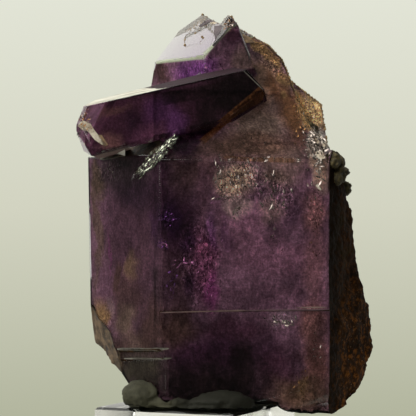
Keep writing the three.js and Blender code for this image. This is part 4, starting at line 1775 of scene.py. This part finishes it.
class Trim(Enum):
    """The finishes of the inlays, as a light and a dark reflectance."""

    # Pale facets of the crossing crystal's tip, and painted highlights.
    CREAM = ((0.900, 0.820, 0.680), (0.420, 0.320, 0.220))
    # The colour of a painted patch of backdrop light.
    WHITE = ((0.980, 0.970, 0.900), (0.800, 0.780, 0.700))
    # The colour of painted sheen on the ledge steps, also used for a pale line along an edge.
    STEP = ((0.230, 0.220, 0.180), (0.110, 0.095, 0.080))
    FAINT = ((0.260, 0.150, 0.180), (0.160, 0.085, 0.105))
    LINE = ((0.340, 0.225, 0.200), (0.200, 0.120, 0.125))
    DUSKY = ((0.150, 0.115, 0.125), (0.030, 0.020, 0.028))
    TAWNY = ((0.420, 0.280, 0.150), (0.110, 0.060, 0.035))


INLAYS = {
    Trim.CREAM: (
        # The crossing crystal's yellowish tip, painted pale where backdrop light comes through it.
        Inlay("cream rim", ((0.006, 0.698), (0.022, 0.711), (0.047, 0.703), (0.058, 0.69), (0.04, 0.684),
                            (0.022, 0.687))),
        Inlay("cream streak", ((0.04, 0.684), (0.058, 0.69), (0.081, 0.668), (0.101, 0.65), (0.086, 0.652),
                               (0.062, 0.664))),
        # Painted highlights: pale glints on the outer column's broken corner.
        Inlay("painted glint flat", ((0.768, 0.68), (0.806, 0.683), (0.816, 0.664), (0.79, 0.657))),
        Inlay("painted glint corner", ((0.812, 0.662), (0.829, 0.664), (0.842, 0.648), (0.818, 0.644))),
        Inlay("painted glint foot", ((0.792, 0.645), (0.812, 0.64), (0.822, 0.622), (0.8, 0.618), (0.79, 0.628))),
        Inlay("painted glint streak", ((0.796, 0.56), (0.808, 0.547), (0.804, 0.543), (0.788, 0.556))),
        # A painted highlight at the point's tip.
        Inlay("tip glint", ((0.439, 0.973), (0.452, 0.974), (0.463, 0.97), (0.459, 0.967), (0.442, 0.968))),
    ),
    Trim.WHITE: (
        # Painted light: a pale patch where the bright backdrop shows through the clear stone below the
        # crossing crystal's tip.
        Inlay("wedge under the tip", ((0.062, 0.622), (0.085, 0.636), (0.16, 0.654), (0.153, 0.629),
                                      (0.075, 0.621))),
    ),
    Trim.STEP: (
        # Painted highlights: pale lines where the ledge steps catch the light from above, and a pale line
        # along the right end's edge.
        Inlay("upper step", ((0.125, 0.152), (0.303, 0.164)), 0.6 * MM),
        Inlay("lower step", ((0.15, 0.13), (0.312, 0.141)), 0.3 * MM),
        Inlay("edge of the right end", ((0.553, 0.838), (0.617, 0.792)), 0.14 * MM),
    ),
    Trim.FAINT: (
        Inlay("growth line's end", ((0.553, 0.254), (0.835, 0.2545)), 0.22 * MM),
    ),
    Trim.LINE: (
        Inlay("growth line", ((0.275, 0.2505), (0.555, 0.254)), 0.24 * MM),
        Inlay("growth dash", ((0.724, 0.26), (0.826, 0.26)), 0.22 * MM),
        Inlay("foot of the crossing crystal", ((0.058, 0.624), (0.172, 0.646)), 0.28 * MM),
    ),
    Trim.DUSKY: (
        Inlay("upper right edge", ((0.55, 0.946), (0.574, 0.871)), 0.26 * MM),
        Inlay("dusky rim", ((0.398, 0.966), (0.411, 0.975), (0.425, 0.981), (0.439, 0.981), (0.452, 0.976),
                            (0.469, 0.967), (0.462, 0.971), (0.442, 0.975), (0.425, 0.971), (0.408, 0.963))),
        Inlay("dusky facet", ((0.454, 0.961), (0.476, 0.961), (0.5, 0.95), (0.486, 0.936), (0.469, 0.921),
                              (0.452, 0.904), (0.446, 0.906), (0.457, 0.921), (0.452, 0.941))),
        Inlay("second tip", ((0.487, 0.964), (0.503, 0.977), (0.517, 0.976), (0.531, 0.961), (0.543, 0.949),
                             (0.517, 0.951), (0.497, 0.953))),
    ),
    Trim.TAWNY: (
        Inlay("tawny notch", ((0.541, 0.948), (0.58, 0.936), (0.595, 0.921), (0.562, 0.921))),
        Inlay("brown streak", ((0.07, 0.676), (0.084, 0.676), (0.106, 0.652), (0.094, 0.648))),
    ),
}


@dataclass
class Inlays:
    """Facets and edges on the skin, among them painted highlights and a painted patch of backdrop light."""

    pitch: float = 1.2 * MM
    height: float = 0.07 * MM
    seed: int = 3

    def build(self, skin: Piece) -> dict[Trim, Piece]:
        """Lays each inlay on the skin.

        Args:
            skin: The stone's outside.

        Returns:
            One piece for each finish.
        """
        chance = random.Random(self.seed)
        pieces = {}
        for trim, inlays in INLAYS.items():
            LOG.info("%s inlays: %s", trim.name.lower(), ", ".join(inlay.name for inlay in inlays))
            shapes = [self._bar(chance, skin, inlay) if len(inlay.corners) == 2 else self._facet(skin, inlay)
                      for inlay in inlays]
            pieces[trim] = Bench.joined(f"{trim.name.lower()}_inlays", shapes)
        return pieces

    def _laid(self, skin: Piece, places: Sequence[Vector]) -> list[Vector]:
        """Finds the points of the skin in front of some places, raised a little towards the front.

        Args:
            skin: The stone's outside.
            places: Where to look, at any depth. One that misses the skin takes the others' greatest depth.

        Returns:
            One point for each place.
        """
        casts = [Bench.from_front(skin, place) for place in places]
        deepest = max((spot.y for hit, spot, _, _ in casts if hit), default=0.0)
        return [Vector((place.x, (spot.y if hit else deepest) - self.height, place.z))
                for place, (hit, spot, _, _) in zip(places, casts)]

    def _facet(self, skin: Piece, inlay: Inlay) -> Shape:
        """Makes a closed slab behind an outline, filled from its middle.

        Args:
            skin: The stone's outside.
            inlay: The facet.

        Returns:
            Its corners and faces.
        """
        places = [STONE.at(*corner) for corner in inlay.corners]
        count = len(places)
        front = self._laid(skin, [*places, sum(places, Vector()) / count])
        back = Vector((0.0, 3 * self.height, 0.0))
        corners = [*front, *(point + back for point in front)]
        sides: list[tuple[int, ...]] = []
        for number in range(count):
            after = (number + 1) % count
            sides += [(number, after, count), (after + count + 1, number + count + 1, 2 * count + 1),
                      (number, number + count + 1, after + count + 1, after)]
        return corners, sides

    def _bar(self, chance: random.Random, skin: Piece, inlay: Inlay) -> Shape:
        """Makes a thin bar of uneven thickness that follows the skin.

        Args:
            chance: Where its unevenness comes from.
            skin: The stone's outside.
            inlay: The bar.

        Returns:
            Its corners and faces.
        """
        start, end = (STONE.at(*corner) for corner in inlay.corners)
        parts = max(4, round((end - start).length / self.pitch))
        aside = Vector((start.z - end.z, 0.0, end.x - start.x)).normalized()
        places: list[Vector] = []
        for number in range(parts + 1):
            middle = start.lerp(end, number / parts)
            ends = 0.5 if number in (0, parts) else 1.0
            half = aside * inlay.thick / 2 * ends * chance.uniform(0.7, 1.2)
            places += [middle + half, middle - half]
        laid = self._laid(skin, places)
        back = Vector((0.0, 4 * self.height, 0.0))
        corners = [corner for upper, lower in zip(laid[::2], laid[1::2])
                   for corner in (upper, lower, lower + back, upper + back)]
        sides: list[tuple[int, ...]] = [(3, 2, 1, 0), tuple(range(4 * parts, 4 * parts + 4))]
        for number in range(parts):
            first = 4 * number
            sides += [(first + one, first + two, first + 4 + two, first + 4 + one)
                      for one, two in ((0, 1), (1, 2), (2, 3), (3, 0))]
        return corners, sides

    def dress(self, pieces: dict[Trim, Piece]) -> None:
        """Gives each kind its finish."""
        for trim, piece in pieces.items():
            Bench.dress(piece, GrainFinish(f"{trim.name.lower()}_trim", *trim.value))


class Pebble:
    """A small lumpy ball, modelled once and copied with its corners jostled."""

    def __init__(self, level: int) -> None:
        """Models the ball.

        Args:
            level: Its subdivisions: 1 has 20 faces, and each further one has four times as many.
        """
        bpy.ops.object.select_all(action="DESELECT")
        bpy.ops.mesh.primitive_ico_sphere_add(subdivisions=level, radius=0.5)
        ball = bpy.context.object
        self.corners = [corner.co.copy() for corner in ball.data.vertices]
        self.sides = [tuple(face.vertices) for face in ball.data.polygons]
        bpy.data.objects.remove(ball)

    def shape(self, chance: random.Random, spot: Vector, size: float, jostle: float) -> Shape:
        """Makes one copy.

        Args:
            chance: Where its jostling comes from.
            spot: Its middle.
            size: Its width.
            jostle: How far a corner may leave the ball, as a share of its radius.

        Returns:
            Its corners and faces.
        """
        squash = Vector([chance.uniform(0.75, 1.25) for _ in range(3)])
        corners = [spot + size * (1 + chance.uniform(-jostle, jostle)) * corner * squash
                   for corner in self.corners]
        return corners, self.sides


@dataclass
class Grains:
    """Grains of limonite on the right side of the columns, and dark mossy lumps on the crust's shoulder.

    Their sizes are in millimetres.
    """

    grains: int = 6000
    grain_sizes: tuple[float, ...] = (0.15, 0.20, 0.28, 0.45)
    grain_jostle: float = 0.16
    lumps: int = 26
    lump_sizes: tuple[float, float] = (1.4, 3.2)
    lump_jostle: float = 0.14
    columns_foot: float = 62 * MM
    columns_left: float = 13 * MM
    columns_front: float = 0.5 * MM
    tip_foot: float = 83 * MM
    lumps_foot: float = 54 * MM
    lumps_left: float = 25.5 * MM
    rightward: float = 0.4
    seed: int = 23

    def build(self, skin: Piece) -> tuple[Piece, Piece]:
        """Sets the grains on the columns' right faces and the lumps on the crust.

        Args:
            skin: The stone's outside.

        Returns:
            The grains and the lumps.
        """
        chance = random.Random(self.seed)
        grain, lump = Pebble(1), Pebble(3)
        grains = [grain.shape(chance, spot, chance.choice(self.grain_sizes) * MM, self.grain_jostle)
                  for spot in self._spots(chance, skin, self._carries_grains, self.grains)]
        lumps = [lump.shape(chance, spot, chance.uniform(*self.lump_sizes) * MM, self.lump_jostle)
                 for spot in self._spots(chance, skin, self._carries_lumps, self.lumps)]
        return Bench.joined("limonite_grains", grains), Bench.joined("mossy_lumps", lumps)

    @staticmethod
    def _spots(chance: random.Random, skin: Piece, wanted: Callable[[bpy.types.MeshPolygon], bool],
               count: int) -> Iterator[Vector]:
        """Finds random places on the faces that a test accepts.

        Args:
            chance: Where the places come from.
            skin: The stone's outside.
            wanted: The test.
            count: How many places.

        Returns:
            The places, one after another.
        """
        faces = [face for face in skin.data.polygons if wanted(face)]
        for face in chance.choices(faces, [face.area for face in faces], k=count):
            first, *rest = [skin.data.vertices[number].co for number in face.vertices]
            pick = chance.randrange(len(rest) - 1)
            share, other = sorted((chance.random(), chance.random()))
            yield first + (rest[pick] - first) * share + (rest[pick + 1] - first) * (other - share)

    def _carries_grains(self, face: bpy.types.MeshPolygon) -> bool:
        """Tells a face of the columns that looks right.

        Args:
            face: The face.

        Returns:
            True for such a face.
        """
        outer = face.center.x > self.columns_left or face.center.z > self.tip_foot
        high = face.center.z > self.columns_foot and face.center.y > self.columns_front
        return high and outer and face.normal.x > self.rightward

    def _carries_lumps(self, face: bpy.types.MeshPolygon) -> bool:
        """True for a face of the crust just below the outer column."""
        below = self.lumps_foot < face.center.z < self.columns_foot
        return below and face.center.x > self.lumps_left and face.normal.x > self.rightward

    def dress(self, grains: Piece, lumps: Piece) -> None:
        """Gives the grains their dull yellow-brown and the lumps their olive.

        Args:
            grains: The grains.
            lumps: The lumps.
        """
        Bench.smooth(lumps, 60)
        Bench.dress(grains, GrainFinish("limonite", (0.50, 0.34, 0.14), (0.13, 0.06, 0.02)))
        Bench.dress(lumps, GrainFinish("moss", (0.150, 0.115, 0.042), (0.024, 0.018, 0.008), 0.9 * MM))


# ---------------------------------------------------------------- the holder


@dataclass
class Putty:
    """The lumps of putty that hold the stone."""

    still: float = 0.6

    def build(self) -> Piece:
        """Rounds the solid lumps and presses dents into them.

        Returns:
            The putty.
        """
        piece = Bench.copy_of("putty", "mounting_putty")
        Bench.modify(piece, "SUBSURF", levels=1, render_levels=1, subdivision_type="CATMULL_CLARK")
        Bench.dent(piece, 1.8 * MM, 0.8 * MM, middle=self.still)
        Bench.dent(piece, 0.6 * MM, 0.25 * MM, 1, middle=self.still)
        Bench.smooth(piece, 60)
        return piece

    def dress(self, piece: Piece) -> None:
        """Gives the putty its dull finish."""
        Bench.dress(piece, PuttyFinish(), "putty", "putty")


@dataclass
class Block:
    """The clear acrylic block that the putty sticks to."""

    bevel: float = 0.06 * MM

    def build(self) -> Piece:
        """Rounds the edges of the solid block.

        Returns:
            The block.
        """
        piece = Bench.copy_of("acrylic_base", "acrylic_block")
        Bench.unite_flat(piece)
        with Bench.editing(piece, "EDGE"):
            Bench.pick_edges(piece, lambda edge: edge.calc_face_angle(0.0) > math.radians(15))
            bpy.ops.mesh.bevel(offset=self.bevel, segments=3, affect="EDGES")
        Bench.smooth(piece, 35)
        return piece

    def dress(self, piece: Piece) -> None:
        """Gives the block its clear acrylic."""
        Bench.dress(piece, AcrylicFinish(), "acrylic", "acrylic_base")


# ---------------------------------------------------------------- the studio


@dataclass(frozen=True)
class Glow:
    """A soft round light in the sky, whose core and rim are angles from its middle, in degrees."""

    facing: Triple
    strength: float
    inner: float
    outer: float

    def light(self, shader: Shader, heading: Socket) -> Number:
        """Works out the light that it gives.

        Args:
            shader: The sky's nodes.
            heading: The direction in which the sky is looked at.

        Returns:
            Its strength at its core, falling to 0 at its rim.
        """
        towards = shader.measure("DOT_PRODUCT", heading, Vector(self.facing).normalized())
        rim, core = (math.cos(math.radians(angle)) for angle in (self.outer, self.inner))
        return self.strength * towards.step(rim, core)


@dataclass
class Studio:
    """Camera, light and floor."""

    across: float = 2.3 * MM
    distance: float = 378 * MM
    height: float = 51.06 * MM
    lens: float = 163.6
    sensor: float = 36.0
    floor_radius: float = 84 * MM
    softbox: Glow = Glow((-0.60, -0.45, 0.65), 2.5, 28.0, 50.0)
    window: Glow = Glow((-0.59, 0.57, 0.57), 0.8, 15.0, 35.0)
    ambient: float = 0.04
    from_back: float = 0.70
    from_above: float = 0.40
    warmth: Colour = (1.0, 0.99, 0.92)
    backdrop_rise: float = 4.55
    backdrop: tuple[Colour, ...] = ((0.445, 0.462, 0.342), (0.645, 0.651, 0.533), (0.760, 0.776, 0.672))

    def build(self) -> None:
        """Sets up the camera, the sky, the floor and how light is followed."""
        self._camera()
        self._sky()
        self._floor()
        self._settings()

    def _camera(self) -> None:
        """Sets up a level camera in front of the stone."""
        data = bpy.data.cameras.new("camera")
        data.lens = self.lens
        data.sensor_width = self.sensor
        data.clip_start = 10 * MM
        camera = bpy.data.objects.new("camera", data)
        camera.location = (self.across, -self.distance, self.height)
        camera.rotation_euler = (math.radians(90), 0.0, 0.0)
        bpy.context.scene.collection.objects.link(camera)
        bpy.context.scene.camera = camera

    def _sky(self) -> None:
        """Paints a graded backdrop for the eye, and soft light from behind and above for the stone."""
        world = bpy.data.worlds.new("studio")
        bpy.context.scene.world = world
        world.use_nodes = True
        shader = Shader(world.node_tree)
        heading = shader.node("ShaderNodeTexCoord").outputs["Generated"]
        parts = shader.node("ShaderNodeSeparateXYZ", {}, {0: heading})
        back, up = Number(shader, parts.outputs[1]), Number(shader, parts.outputs[2])
        backdrop = shader.ramp(up * self.backdrop_rise + 0.5, tuple(zip((0.0, 0.5, 1.0), self.backdrop)))
        above = up.step(0.3, 0.95) * back.step(-0.25, 0.25)
        level = self.ambient + self.from_back * back.step(0.2, 0.8) + self.from_above * above
        level = level + self.softbox.light(shader, heading) + self.window.light(shader, heading)
        seen = shader.node("ShaderNodeBackground", {}, {"Color": backdrop})
        light = shader.node("ShaderNodeBackground", {}, {"Color": self.warmth, "Strength": level})
        eye = shader.node("ShaderNodeLightPath").outputs["Is Camera Ray"]
        both = shader.node("ShaderNodeMixShader", {}, {0: eye, 1: light.outputs[0], 2: seen.outputs[0]})
        shader.node("ShaderNodeOutputWorld", {}, {"Surface": both.outputs[0]})

    def _floor(self) -> None:
        """Lays a round floor that fades out before its rim."""
        bpy.ops.object.select_all(action="DESELECT")
        bpy.ops.mesh.primitive_circle_add(vertices=96, radius=self.floor_radius, fill_type="NGON")
        floor = bpy.context.object
        floor.name = "floor"
        Bench.wear(floor, FloorFinish(self.floor_radius))

    @staticmethod
    def _settings() -> None:
        """Sets plain colours, and enough bounces for light to leave the stone again."""
        scene = bpy.context.scene
        scene.view_settings.view_transform = "Standard"
        scene.cycles.use_denoising = True
        scene.cycles.max_bounces = 16
        scene.cycles.transmission_bounces = 14
        scene.cycles.glossy_bounces = 6
        scene.cycles.sample_clamp_indirect = 6.0


def main() -> None:
    """Builds the studio and every piece in turn."""
    logging.basicConfig(level=logging.INFO, format="%(name)s %(message)s")
    Studio().build()
    skin, heart, sparks = Skin(), Heart(), Sparks()
    skin_piece = skin.build()
    heart_piece = heart.build(skin_piece)
    sparks.dress(sparks.build(heart_piece, skin_piece))
    for layer in (EtchedLedge(), Inlays()):
        layer.dress(layer.build(skin_piece))
    grains = Grains()
    grains.dress(*grains.build(skin_piece))
    skin.dress(skin_piece)
    heart.dress(heart_piece)
    for part in (Putty(), Block()):
        part.dress(part.build())


if __name__ == "__main__":
    main()
